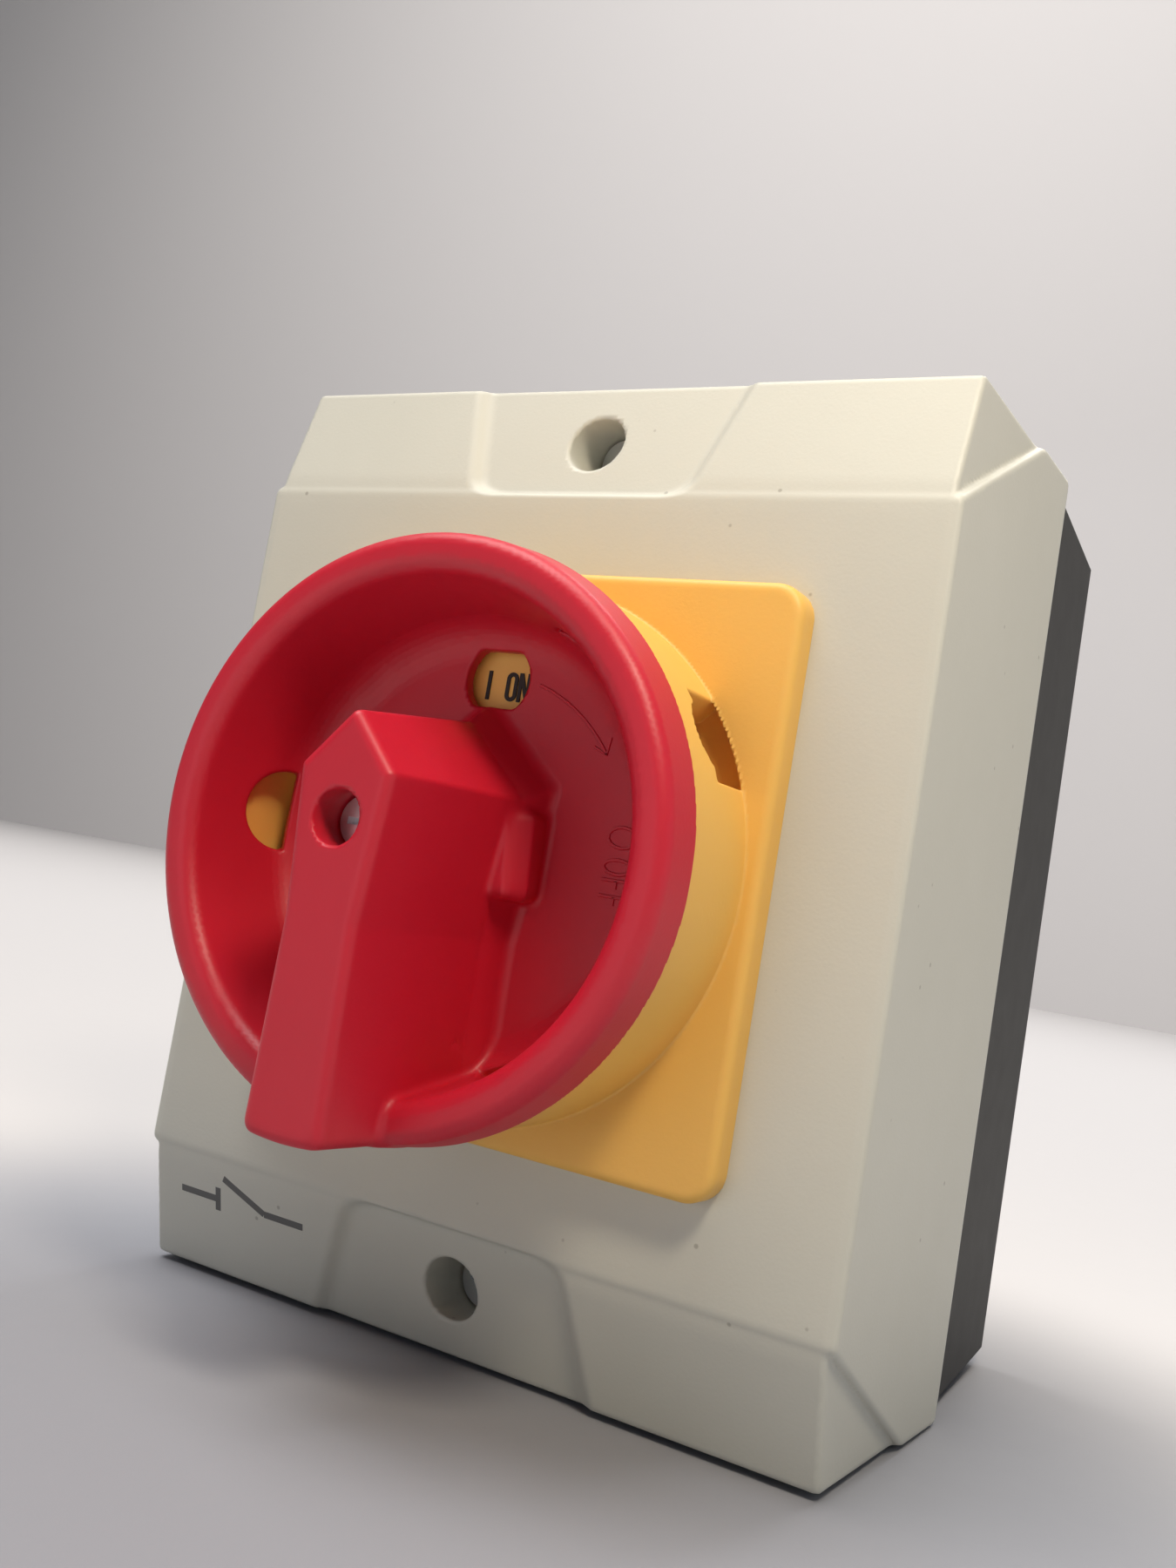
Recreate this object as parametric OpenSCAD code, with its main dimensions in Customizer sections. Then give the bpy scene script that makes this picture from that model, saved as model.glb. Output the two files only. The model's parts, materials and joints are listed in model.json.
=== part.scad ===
// Rotary isolator switch in a wall-mounted enclosure.
// The part's origin is the centre of the wall face. Front is -Y, up is +Z, right is +X.
// Every module works in a drawing frame with x right, y up and z out from the wall,
// and the facing() module turns that frame into the part's own frame.

/* [Enclosure] */
// Width of the cover at its middle, at the seam
body_w = 94; // [84:1:120]
// Height of the cover at the seam
body_h = 117; // [108:1:150]
// Depth of the black base
base_depth = 34; // [32:1:50]
// Depth of the light cover, from seam to front plane
cover_depth = 41; // [39:1:60]
// Wall thickness of both shells
wall = 2.5; // [2:0.1:3]
// How much the base narrows towards the wall on each side
base_taper = 1.6; // [0.5:0.1:2.5]
// How much the cover narrows towards the front on each side
cover_draft = 0.6; // [0.2:0.1:1.5]
// Height of the sloped panel at each end of the cover
bevel_h = 14.7; // [12:0.1:18]
// How far the sloped panels fall back from the front plane
bevel_drop = 4.2; // [2:0.1:6]
// Step between the middle of the cover and its two end sections
side_ledge = 0.9; // [0.4:0.1:1.5]
// Distance behind the front plane where the slanted ledge ends
ledge_run = 28; // [18:1:34]

/* [Cover screws] */
// Distance of each cover screw from the nearest end
cover_screw_inset = 8.4; // [7:0.1:9.5]
// Radius of the screw wells in the cover
well_r = 3.6; // [3.4:0.1:4]
// Depth of the screw heads below the front plane
well_depth = 11.5; // [8:0.5:16]
// Depth of the sunk panel round each screw well
panel_depth = 1; // [0.4:0.1:1.5]

/* [Handle] */
// Side of the square plate behind the handle
plate_size = 65; // [65:1:70]
// Thickness of the plate at its edge
plate_t = 3.7; // [3:0.1:5]
// Outer radius of the collar on the plate
collar_r = 30.6; // [30.4:0.1:31]
// Height of the visible collar above the cover
collar_h = 18.3; // [17:0.1:20]
// Outer radius of the knob at its rear edge
knob_r = 31.8; // [31.7:0.1:33]
// Height of the knob's rim above the cover
rim_h = 23.9; // [23:0.1:26]
// Height of the grip bar above the cover
bar_h = 32.6; // [30:0.1:36]
// Height of the floor of the dish above the cover
dish_h = 9; // [8.6:0.1:9.6]
// Radius of the bore that the knob's hub turns in
hub_bore_r = 9; // [8.4:0.1:10.8]
// Direction of the first padlock slot, from the right-hand side
slot_angle = 29; // [20:1:40]

/* [Switch] */
// Number of contact decks
decks = 4; // [4:1:4]
// Thickness of one contact deck
deck_t = 9; // [9:0.1:9.5]
// Side of each square deck
deck_size = 46; // [45:0.1:55.2]
// Side of the square drive shaft
shaft_size = 6; // [5:0.1:6.4]

/* [Cable entries] */
// Radius of the cable entries in the base
entry_r = 10.2; // [8.2:0.1:11]
// Distance of the cable entries from the nearest side
entry_inset = 25; // [22:1:27]
// Radius of the four wall fixing holes
fixing_r = 2.4; // [2:0.1:3]
// Distance of the wall fixing holes from the nearest side
fixing_inset_x = 12; // [11:0.5:17]
// Distance of the wall fixing holes from the nearest end
fixing_inset_y = 12.5; // [11.5:0.5:18]

/* [Hidden] */
$fn = 64;
through = 1;
small_gap = 0.05;
run_gap = 0.05;
seat_gap = 0.3;

// Levels out from the wall
seam_z = base_depth;
cover_screw_y = body_h / 2 - cover_screw_inset;
entry_x = body_w / 2 - entry_inset;
fixing_w = body_w - 2 * fixing_inset_x;
fixing_h = body_h - 2 * fixing_inset_y;
front_z = base_depth + cover_depth;
gasket_t = 0.8;
tongue_h = 2;
foot_z = wall + 2;
foot_t = 4;
deck_z = foot_z + foot_t;
index_z = deck_z + decks * deck_t;
index_t = 12;
plate_z = front_z + plate_t;
label_z = plate_z + 3.1;
floor_z = front_z + dish_h;
floor_t = 1.6;
floor_back_z = floor_z - floor_t;
collar_top_z = front_z + collar_h + 1.6;
skirt_z = front_z + collar_h;
rim_z = front_z + rim_h;
bar_z = front_z + bar_h;
plinth_h = 3.8;
plinth_z = floor_z + plinth_h;

// Colours
cover_grey = [0.82, 0.81, 0.74];
base_grey = [0.16, 0.155, 0.15];
rubber_black = [0.05, 0.05, 0.05];
handle_red = [0.72, 0.05, 0.10];
plate_yellow = [0.95, 0.66, 0.22];
zinc = [0.72, 0.72, 0.70];
brass = [0.78, 0.62, 0.30];
copper = [0.78, 0.45, 0.28];
deck_black = [0.10, 0.10, 0.11];
rotor_white = [0.85, 0.84, 0.80];
steel = [0.55, 0.56, 0.58];
ink = [0.06, 0.05, 0.05];

// Turns the drawing frame into the part's frame
module facing() rotate([90, 0, 0]) children();

// Points of a circular arc
function arc_points(centre, radius, from, to, steps) = [
    for (i = [0 : steps])
        let (angle = from + (to - from) * i / steps)
            [centre[0] + radius * cos(angle), centre[1] + radius * sin(angle)]
];

// A tube along z
module tube(outer, inner, low, high) {
    translate([0, 0, low]) difference() {
        cylinder(r = outer, h = high - low);
        translate([0, 0, -through]) cylinder(r = inner, h = high - low + 2 * through);
    }
}

// A solid between two drafted side walls and the side profile [y, z]
module drafted_block(side_profile, low, high, half_low, half_high) {
    reach = body_w;
    intersection() {
        rotate([90, 0, 90]) linear_extrude(height = 2 * reach, center = true) polygon(side_profile);
        rotate([90, 0, 0]) linear_extrude(height = 4 * reach, center = true)
            polygon([[-half_low, low], [half_low, low], [half_high, high], [-half_high, high]]);
    }
}

// A square with rounded corners
module rounded_square(side_x, side_y, corner) {
    offset(r = corner) square([side_x - 2 * corner, side_y - 2 * corner], center = true);
}

// A pan head screw along z, with its head's underside at z = 0 and a cross recess
module pan_screw(head_r, head_h, shank_r, length) {
    recess_w = head_r * 0.28;
    difference() {
        union() {
            cylinder(r = head_r, h = head_h);
            translate([0, 0, -length]) cylinder(r = shank_r, h = length + small_gap);
        }
        for (turn = [0, 90]) rotate([0, 0, turn])
            translate([0, 0, head_h]) cube([head_r * 1.3, recess_w, head_h], center = true);
    }
}

// ---- Enclosure ----

end_half = body_w / 2 - side_ledge;
base_inset = 0.3;
base_half_w = end_half - base_inset;
base_half_h = body_h / 2 - base_inset;
base_top_z = seam_z - gasket_t;
post_r = 5;
insert_r = 2.9;
insert_h = 9;
cover_shank_r = 1.9;
pad_r = 5;
foot_screw_x = deck_size / 2 + 4.5;
foot_shank_r = 1.35;
entry_z = base_depth / 2;
entry_seat_r = entry_r + 2.6;
entry_outer_y = base_half_h - base_taper - small_gap;
entry_inner_y = entry_outer_y - wall - 0.6;
earth_x = 13 - body_w / 2;
earth_y = 24.5 - body_h / 2;

// The base's form, drawn in from its outer faces by an inset
module base_form(inset, low, high) {
    low_share = 1 - low / seam_z;
    high_share = 1 - high / seam_z;
    drafted_block([
        [-(base_half_h - inset - base_taper * low_share), low],
        [base_half_h - inset - base_taper * low_share, low],
        [base_half_h - inset - base_taper * high_share, high],
        [-(base_half_h - inset - base_taper * high_share), high]
    ], low, high,
        base_half_w - inset - base_taper * low_share,
        base_half_w - inset - base_taper * high_share);
}

module rear_base() color(base_grey) facing() {
    tongue_inset = 1.4;
    rim_step = 0.4;
    rim_height = 2.4;
    difference() {
        union() {
            difference() {
                union() {
                    base_form(rim_step, 0, base_top_z - rim_height + 0.1);
                    base_form(0, base_top_z - rim_height, base_top_z);
                    base_form(tongue_inset, base_top_z - 0.1, seam_z + tongue_h);
                }
                base_form(wall, wall, seam_z + tongue_h + through);
            }
            for (side = [-1, 1]) {
                translate([0, side * cover_screw_y, wall - 0.1])
                    cylinder(r = post_r, h = base_top_z - wall + 0.1);
                translate([side * foot_screw_x, 0, wall - 0.1])
                    cylinder(r = pad_r, h = foot_z - wall + 0.1);
                for (end = [-1, 1]) translate([side * entry_x, end * entry_outer_y, entry_z])
                    rotate([end * 90, 0, 0]) cylinder(r = entry_seat_r, h = wall + 0.6);
            }
        }
        for (side = [-1, 1]) {
            translate([0, side * cover_screw_y, base_top_z - insert_h])
                cylinder(r = insert_r, h = insert_h + through);
            translate([0, side * cover_screw_y, 8])
                cylinder(r = cover_shank_r + 0.3, h = base_top_z);
            translate([side * foot_screw_x, 0, wall / 2])
                cylinder(r = foot_shank_r, h = foot_z);
            for (end = [-1, 1]) {
                translate([side * fixing_w / 2, end * fixing_h / 2, -through])
                    cylinder(r = fixing_r, h = wall + 2 * through);
                translate([side * entry_x, end * (entry_outer_y + 10), entry_z])
                    rotate([end * 90, 0, 0]) cylinder(r = entry_r, h = wall + 20);
                translate([side * entry_x, end * (entry_outer_y + 10), entry_z])
                    rotate([end * 90, 0, 0]) cylinder(r = entry_seat_r, h = 10);
            }
        }
    }
}

module cover_gasket() color(rubber_black) facing() difference() {
    base_form(0.5, base_top_z, seam_z);
    base_form(1.35, base_top_z - through, seam_z + through);
}

// The plain side profile [y, z] of the cover's end sections
function end_profile(inset) = [
    [-(body_h / 2 - inset), seam_z],
    [-(body_h / 2 - cover_draft - inset), front_z - bevel_drop - inset * 0.6],
    [-(body_h / 2 - cover_draft - bevel_h - inset * 0.15), front_z - inset],
    [body_h / 2 - cover_draft - bevel_h - inset * 0.15, front_z - inset],
    [body_h / 2 - cover_draft - inset, front_z - bevel_drop - inset * 0.6],
    [body_h / 2 - inset, seam_z]
];

// The side profile of the wider middle section, which ends along the slanted ledges
ledge_share = 1 - ledge_run / cover_depth;
middle_profile = [
    [-body_h / 2, seam_z],
    [-(body_h / 2 - cover_draft * ledge_share), front_z - ledge_run],
    [-(body_h / 2 - cover_draft - bevel_h), front_z],
    [body_h / 2 - cover_draft - bevel_h, front_z],
    [body_h / 2 - cover_draft * ledge_share, front_z - ledge_run],
    [body_h / 2, seam_z]
];

bevel_angle = atan(bevel_drop / bevel_h);
bevel_line_y = body_h / 2 - cover_draft - bevel_h;
panel_inner_half = 15;
panel_outer_half = 20;
panel_overlap = 0.5;
panel_corner = 2.5;
boss_r = well_r + 1.8;
hub_hole_r = hub_bore_r + 4;
plate_screw_x = 25;
plate_screw_r = 1.5;

// Outline of the sunk panel at one end, as seen from the front
module panel_outline() {
    inner_y = bevel_line_y - panel_overlap;
    outer_y = body_h / 2 + 3;
    slope = (panel_outer_half - panel_inner_half) / bevel_h;
    far_half = panel_inner_half + slope * (outer_y - inner_y);
    offset(r = panel_corner) offset(delta = -panel_corner)
        polygon([[-panel_inner_half, inner_y], [panel_inner_half, inner_y],
                 [far_half, outer_y], [-far_half, outer_y]]);
}

// The space above a sunk panel at the upper end
module panel_space() intersection() {
    translate([0, 0, front_z - 10]) linear_extrude(height = 20) panel_outline();
    translate([0, bevel_line_y, front_z - panel_depth]) rotate([-bevel_angle, 0, 0])
        translate([-body_w, -10, 0]) cube([2 * body_w, 60, 30]);
}

module front_cover() color(cover_grey) facing() {
    well_floor_z = front_z - well_depth - 2.6;
    difference() {
        union() {
            difference() {
                union() {
                    drafted_block(end_profile(0), seam_z, front_z, end_half, end_half - cover_draft);
                    drafted_block(middle_profile, seam_z, front_z, body_w / 2, body_w / 2 - cover_draft);
                }
                difference() {
                    drafted_block(end_profile(wall), seam_z - through, front_z, end_half - wall,
                        end_half - cover_draft - wall);
                    for (side = [-1, 1]) translate([0, side * cover_screw_y, seam_z])
                        cylinder(r = boss_r, h = cover_depth);
                }
                base_form(1.4 - seat_gap / 2, seam_z - 2 * through, seam_z + tongue_h + seat_gap);
                translate([0, 0, seam_z - through])
                    cube([body_w * 2, body_h * 2, 2 * through - 0.01], center = true);
            }
            for (side = [-1, 1]) translate([0, side * cover_screw_y, seam_z + 0.3])
                cylinder(r = boss_r, h = 10);
        }
        for (side = [-1, 1]) {
            translate([0, side * cover_screw_y, seam_z - through])
                cylinder(r = cover_shank_r + 0.3, h = cover_depth + 2 * through);
            translate([0, side * cover_screw_y, well_floor_z])
                cylinder(r = well_r, h = cover_depth);
            for (up = [-1, 1])
                translate([side * plate_screw_x, up * plate_screw_x, front_z - wall - through])
                cylinder(r = plate_screw_r + 0.2, h = wall + 2 * through);
        }
        translate([0, 0, front_z - wall - through]) cylinder(r = hub_hole_r, h = wall + 2 * through);
        panel_space();
        mirror([0, 1, 0]) panel_space();
    }
}

cover_head_r = 3.3;
cover_head_h = 2.4;
cover_seal_t = 0.8;
cover_head_z = front_z - well_depth - 2.6 + cover_seal_t;

module cover_screws() color(zinc) facing()
    for (side = [-1, 1]) translate([0, side * cover_screw_y, cover_head_z + small_gap])
        pan_screw(cover_head_r, cover_head_h, cover_shank_r, cover_head_z - base_top_z + insert_h - 1);

module cover_screw_seals() color(rubber_black) facing()
    for (side = [-1, 1]) translate([0, side * cover_screw_y, 0])
        tube(cover_head_r, cover_shank_r + 0.1, cover_head_z - cover_seal_t, cover_head_z);

module base_inserts() color(brass) facing()
    for (side = [-1, 1]) translate([0, side * cover_screw_y, 0])
        tube(insert_r - small_gap, cover_shank_r + small_gap, base_top_z - insert_h, base_top_z - 0.4);

module entry_plugs() color(rubber_black) facing()
    for (side = [-1, 1]) translate([side * entry_x, entry_outer_y, entry_z]) rotate([-90, 0, 0]) {
        translate([0, 0, small_gap]) cylinder(r = entry_seat_r - 0.8, h = 1.5);
        difference() {
            translate([0, 0, -wall - 2]) cylinder(r = entry_r - small_gap, h = wall + 2.2);
            translate([0, 0, -wall - 2 - through]) cylinder(r = entry_r - 1.6, h = wall + 1.6 + through);
        }
    }

earth_block = [10, 26, 8];
earth_bar_size = [6, 22, 6.5];
earth_screw_y = 6;

module earth_holder() color(deck_black) facing()
    translate([earth_x, earth_y, wall]) difference() {
        translate([0, 0, earth_block[2] / 2]) cube(earth_block, center = true);
        translate([0, 0, earth_block[2]])
            cube([earth_bar_size[0] + 2 * small_gap, earth_bar_size[1] + 2 * small_gap, 6], center = true);
    }

module earth_bar() color(brass) facing()
    translate([earth_x, earth_y, wall + earth_block[2] - 3 + small_gap]) difference() {
        translate([0, 0, earth_bar_size[2] / 2]) cube(earth_bar_size, center = true);
        for (side = [-1, 1]) {
            translate([0, side * earth_screw_y, earth_bar_size[2] / 2 - 0.5]) rotate([0, 90, 0])
                cylinder(r = 1.6, h = 20, center = true);
            translate([0, side * earth_screw_y, 2]) cylinder(r = 1.6, h = 20);
        }
    }

module earth_screws() color(zinc) facing()
    for (side = [-1, 1])
        translate([earth_x, earth_y + side * earth_screw_y,
            wall + earth_block[2] - 3 + earth_bar_size[2] + 0.4])
            pan_screw(2.4, 1.8, 1.5, 3);

// ---- Handle plate and legends ----

plate_corner = 4;
collar_t = 2.8;
collar_inner_r = collar_r - collar_t;
label_r = 23;
seal_inner_r = hub_bore_r + 6;
slot_half_angle = 9.6;
slot_top_z = plate_z + 6.1;
slot_floor = 1.2;
padlock_angles = [for (i = [0 : 2]) slot_angle + 120 * i];

// A wedge in plan that opens a slot through the collar and the plate under it
module slot_wedge(angle, low, high) {
    reach = collar_r + 6;
    half = reach * tan(slot_half_angle);
    rotate([0, 0, angle]) translate([0, 0, low]) linear_extrude(height = high - low)
        polygon([[0, 0], [reach, -half], [reach, half]]);
}

module handle_plate() color(plate_yellow) facing() {
    edge_chamfer = 0.6;
    difference() {
        union() {
            translate([0, 0, front_z]) linear_extrude(height = plate_t - edge_chamfer)
                rounded_square(plate_size, plate_size, plate_corner);
            translate([0, 0, plate_z - edge_chamfer - 0.01]) linear_extrude(height = edge_chamfer + 0.01)
                rounded_square(plate_size - 2 * edge_chamfer, plate_size - 2 * edge_chamfer,
                    plate_corner - edge_chamfer);
            difference() {
                tube(collar_r, collar_inner_r, plate_z - 0.1, collar_top_z);
                for (angle = padlock_angles) slot_wedge(angle, plate_z, slot_top_z);
            }
            translate([0, 0, plate_z - 0.1]) cylinder(r = label_r, h = label_z - plate_z + 0.1);
        }
        translate([0, 0, front_z - through]) cylinder(r = hub_bore_r, h = label_z - front_z + 2 * through);
        tube(seal_inner_r + 2.1, seal_inner_r - 0.1, front_z - through, front_z + 1.05);
        for (angle = padlock_angles) intersection() {
            slot_wedge(angle, front_z + slot_floor, plate_z + 0.1);
            tube(collar_r - 0.2, label_r + 1, front_z + slot_floor, plate_z + 0.1);
        }
        for (side = [-1, 1], up = [-1, 1])
            translate([side * plate_screw_x, up * plate_screw_x, front_z - through])
                cylinder(r = plate_screw_r + small_gap, h = plate_t - 0.9 + through);
    }
}

module plate_seal() color(rubber_black) facing() tube(seal_inner_r + 2, seal_inner_r, front_z, front_z + 1);

module plate_screws() color(zinc) facing()
    for (side = [-1, 1], up = [-1, 1])
        translate([side * plate_screw_x, up * plate_screw_x, front_z - wall]) mirror([0, 0, 1])
            pan_screw(2.9, 2, plate_screw_r, wall + plate_t - 1.4);

legend_h = 3.3;
legend_w = 1.5;
stroke = 0.45;
legend_t = 0.15;
legend_y = 18.2;

// A plain upright stroke
module stroke_bar(x) translate([x - stroke / 2, -legend_h / 2, 0]) cube([stroke, legend_h, legend_t]);

// A tall ring, such as a zero
module tall_ring(x, width) translate([x, 0, 0]) linear_extrude(height = legend_t) difference() {
    rounded_square(width, legend_h, width / 2 - 0.01);
    rounded_square(width - 2 * stroke, legend_h - 2 * stroke, width / 2 - stroke - 0.01);
}

module on_legend() color(ink) facing() translate([0, legend_y, label_z]) {
    stroke_bar(-2.4);
    tall_ring(0.65, legend_w);
    stroke_bar(1.75);
    stroke_bar(2.85);
    linear_extrude(height = legend_t) polygon([
        [1.525, legend_h / 2], [2, legend_h / 2], [3.075, -legend_h / 2], [2.6, -legend_h / 2]
    ]);
}

module off_legend() color(ink) facing() translate([-legend_y, 0, label_z]) {
    tall_ring(-2.3, legend_w + 0.7);
    tall_ring(0.6, legend_w);
    for (x = [2, 3.4]) {
        stroke_bar(x);
        for (bar_y = [legend_h / 2 - stroke, 0]) translate([x, bar_y, 0]) cube([0.9, stroke, legend_t]);
    }
}

// ---- Knob and what turns with it ----

dish_r = 25.3;
dish_top_r = 27.2;
dish_fillet = 3.5;
knob_outer_r = collar_inner_r - 0.5;
rim_outer_r = knob_r - 0.4;
rim_round = 1.2;
hub_r = hub_bore_r - run_gap;
hub_low_z = front_z - 4;
ring_z = front_z - 1.7;
ring_t = 1;
seal_z = front_z + 2.6;
seal_r = 0.8;
coupler_r = 5.4;
coupler_low_z = front_z - 15;
spigot = 7;
spigot_z = floor_back_z - 0.3;
spigot_top_z = bar_z - 9.6;
handle_seat_z = bar_z - 6.2;
handle_head_r = 2.6;
handle_well_r = 2.8;
window_r = 4.1;
window_y = 18.6;
window_half = 3.2;
padlock_r = 4.6;
padlock_h = 5.2;

// Half of the knob's turned profile [radius, z]
knob_profile = concat(
    [[0, floor_z]],
    arc_points([dish_r - dish_fillet, floor_z + dish_fillet], dish_fillet, -90, -8, 7),
    arc_points([dish_top_r + 1, rim_z - 1], 1, 180, 90, 4),
    arc_points([rim_outer_r - rim_round, rim_z - rim_round], rim_round, 90, 5, 5),
    [[knob_r, skirt_z], [collar_r + 0.35, skirt_z], [collar_r + 0.35, collar_top_z + 0.5],
     [knob_outer_r, collar_top_z + 0.5]],
    arc_points([knob_outer_r - 3, floor_back_z + 3], 3, 0, -90, 5),
    [[0, floor_back_z]]
);

// Grip bar, as half outlines [x, y] of its upper and lower parts
bar_waist_y = -10;
bar_front_upper = [[0, 11], [5.6, 4.9], [4.3, bar_waist_y], [-4.3, bar_waist_y], [-5.6, 4.9]];
bar_foot_upper = [[0, 13.3], [8.3, 5.4], [6.2, bar_waist_y], [-6.2, bar_waist_y], [-8.3, 5.4]];
bar_base_upper = [[0, 16], [9.9, 7.2], [7.4, bar_waist_y], [-7.4, bar_waist_y], [-9.9, 7.2]];
bar_end_y = -34;
bar_front_lower = [[4.3, bar_waist_y], [4.9, bar_end_y], [-4.9, bar_end_y], [-4.3, bar_waist_y]];
bar_foot_lower = [[6.2, bar_waist_y], [6.8, bar_end_y], [-6.8, bar_end_y], [-6.2, bar_waist_y]];
bar_base_lower = [[7.4, bar_waist_y], [7.8, bar_end_y], [-7.8, bar_end_y], [-7.4, bar_waist_y]];
slice = 0.02;

// A solid that runs straight from one outline to another
module between(outline_low, low, outline_high, high) hull() {
    translate([0, 0, low]) linear_extrude(height = slice) polygon(outline_low);
    translate([0, 0, high - slice]) linear_extrude(height = slice) polygon(outline_high);
}

module grip_bar() intersection() {
    union() {
        between(bar_foot_upper, plinth_z, bar_front_upper, bar_z);
        between(bar_foot_lower, plinth_z, bar_front_lower, bar_z);
        between(bar_base_upper, floor_z - 0.1, bar_foot_upper, plinth_z + slice);
        between(bar_base_lower, floor_z - 0.1, bar_foot_lower, plinth_z + slice);
    }
    union() {
        translate([0, 0, floor_z - 0.2]) cylinder(r = dish_r, h = bar_z);
        translate([0, 0, collar_top_z + 1]) cylinder(r = knob_r, h = bar_z, $fn = 128);
        translate([0, 0, floor_z + dish_fillet]) cylinder(r = dish_r + 0.6, h = bar_z);
    }
}

lug_low_y = -5.3;
lug_high_y = 4.3;

// A small lug on the right flank of the bar
module flank_lug() rotate([90, 0, 0]) translate([0, 0, -lug_high_y])
    linear_extrude(height = lug_high_y - lug_low_y)
        polygon([
            [6, floor_z - 0.1], [9.9, floor_z - 0.1], [9.7, plinth_z - 0.4],
            [7.9, plinth_z + 1.6], [6, plinth_z + 1.6]
        ]);

// The slanted channel for a padlock through the corner of the dish: round, with a flat on its inner side
module padlock_channel(angle) rotate([0, 0, angle])
    translate([dish_r + 0.6, 0, floor_z + 3.9]) rotate([0, 45, 0]) intersection() {
        translate([0, 0, padlock_h / 2 - padlock_r]) rotate([0, 90, 0])
            cylinder(r = padlock_r, h = 14, center = true);
        cube([12, 3 * padlock_r, padlock_h], center = true);
    }

module handle_knob() color(handle_red) facing() difference() {
    union() {
        rotate_extrude($fn = 128) polygon(knob_profile);
        translate([0, 0, hub_low_z]) cylinder(r = hub_r, h = floor_back_z - hub_low_z + 0.1);
        grip_bar();
        flank_lug();
        mirror([1, 0, 0]) flank_lug();
    }
    translate([0, 0, hub_low_z - through]) cylinder(r = coupler_r + 0.2, h = spigot_z - hub_low_z + through);
    translate([-spigot / 2 - small_gap, -spigot / 2 - small_gap, spigot_z - 0.1])
        cube([spigot + 2 * small_gap, spigot + 2 * small_gap, spigot_top_z - spigot_z + 0.3]);
    translate([0, 0, spigot_top_z]) cylinder(r = 2.1, h = 20);
    translate([0, 0, handle_seat_z]) cylinder(r = handle_well_r, h = 20);
    tube(hub_r + 1, hub_r - 0.9, ring_z - 0.1, ring_z + ring_t + 0.1);
    tube(hub_r + 1, hub_r - 2 * seal_r - 0.1, seal_z - seal_r - 0.05, seal_z + seal_r + 0.05);
    intersection() {
        translate([0, window_y, floor_back_z - through]) cylinder(r = window_r, h = floor_t + 2 * through);
        translate([0, window_y, floor_z]) cube([20, 2 * window_half, 20], center = true);
    }
    for (angle = padlock_angles) padlock_channel(angle - 90);
}

module handle_screw() color(zinc) facing() translate([0, 0, handle_seat_z + small_gap])
    pan_screw(handle_head_r, 2, 1.6, 10);

module shaft_coupler() color(steel) facing() difference() {
    union() {
        translate([0, 0, coupler_low_z]) cylinder(r = coupler_r, h = spigot_z - coupler_low_z - small_gap);
        translate([-spigot / 2, -spigot / 2, spigot_z - 0.2])
            cube([spigot, spigot, spigot_top_z - spigot_z]);
    }
    translate([-shaft_size / 2 - 0.1, -shaft_size / 2 - 0.1, coupler_low_z - through])
        cube([shaft_size + 0.2, shaft_size + 0.2, spigot_z - coupler_low_z]);
    translate([0, 0, spigot_top_z - 10.5]) cylinder(r = 1.65, h = 20);
}

module hub_seal() color(rubber_black) facing() translate([0, 0, seal_z])
    rotate_extrude() translate([hub_r - seal_r, 0]) circle(r = seal_r, $fn = 24);

module retaining_ring() color(steel) facing() difference() {
    tube(hub_r + 2.2, hub_r - 0.85, ring_z, ring_z + ring_t);
    translate([0, -hub_r, ring_z]) cube([7, 8, 4 * ring_t], center = true);
}

// ---- Switch body ----

stack_x = deck_size / 2 - 5;
stack_r = 1.5;
deck_bore_r = 13;
deck_neck_r = 8;
rotor_r = 11;
rotor_neck_r = 7.6;
blade_level = 4.4;
blade_t = 1.2;
blade_w = 5;
blade_reach = 12.7;
contact_reach = blade_reach + 0.1;
pocket_w = 10;
tab_y = deck_size / 2 - 3.2;
tab_t = 1.2;
clamp_t = 1;
journal_r = 4.5;
shaft_low_z = foot_z + 0.5;
shaft_top_z = spigot_z - 1.4;

module mounting_foot() color(deck_black) facing() difference() {
    union() {
        translate([-deck_size / 2, -deck_size / 2, foot_z]) cube([deck_size, deck_size, foot_t]);
        for (side = [-1, 1]) translate([side * foot_screw_x, 0, foot_z + foot_t / 2])
            cube([11, 12, foot_t], center = true);
    }
    translate([0, 0, foot_z - through]) cylinder(r = journal_r + run_gap, h = foot_t + 2 * through);
    for (side = [-1, 1]) {
        translate([side * foot_screw_x, 0, foot_z - through]) cylinder(r = 1.7, h = foot_t + 2 * through);
        translate([side * stack_x, 0, foot_z - through]) {
            cylinder(r = stack_r + 0.1, h = foot_t + 2 * through);
            cylinder(r = 3.2, h = 2.4 + through, $fn = 6);
        }
    }
}

module foot_screws() color(zinc) facing()
    for (side = [-1, 1]) translate([side * foot_screw_x, 0, foot_z + foot_t + small_gap])
        pan_screw(2.8, 2.2, foot_shank_r, foot_t + foot_z - wall);

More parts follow.
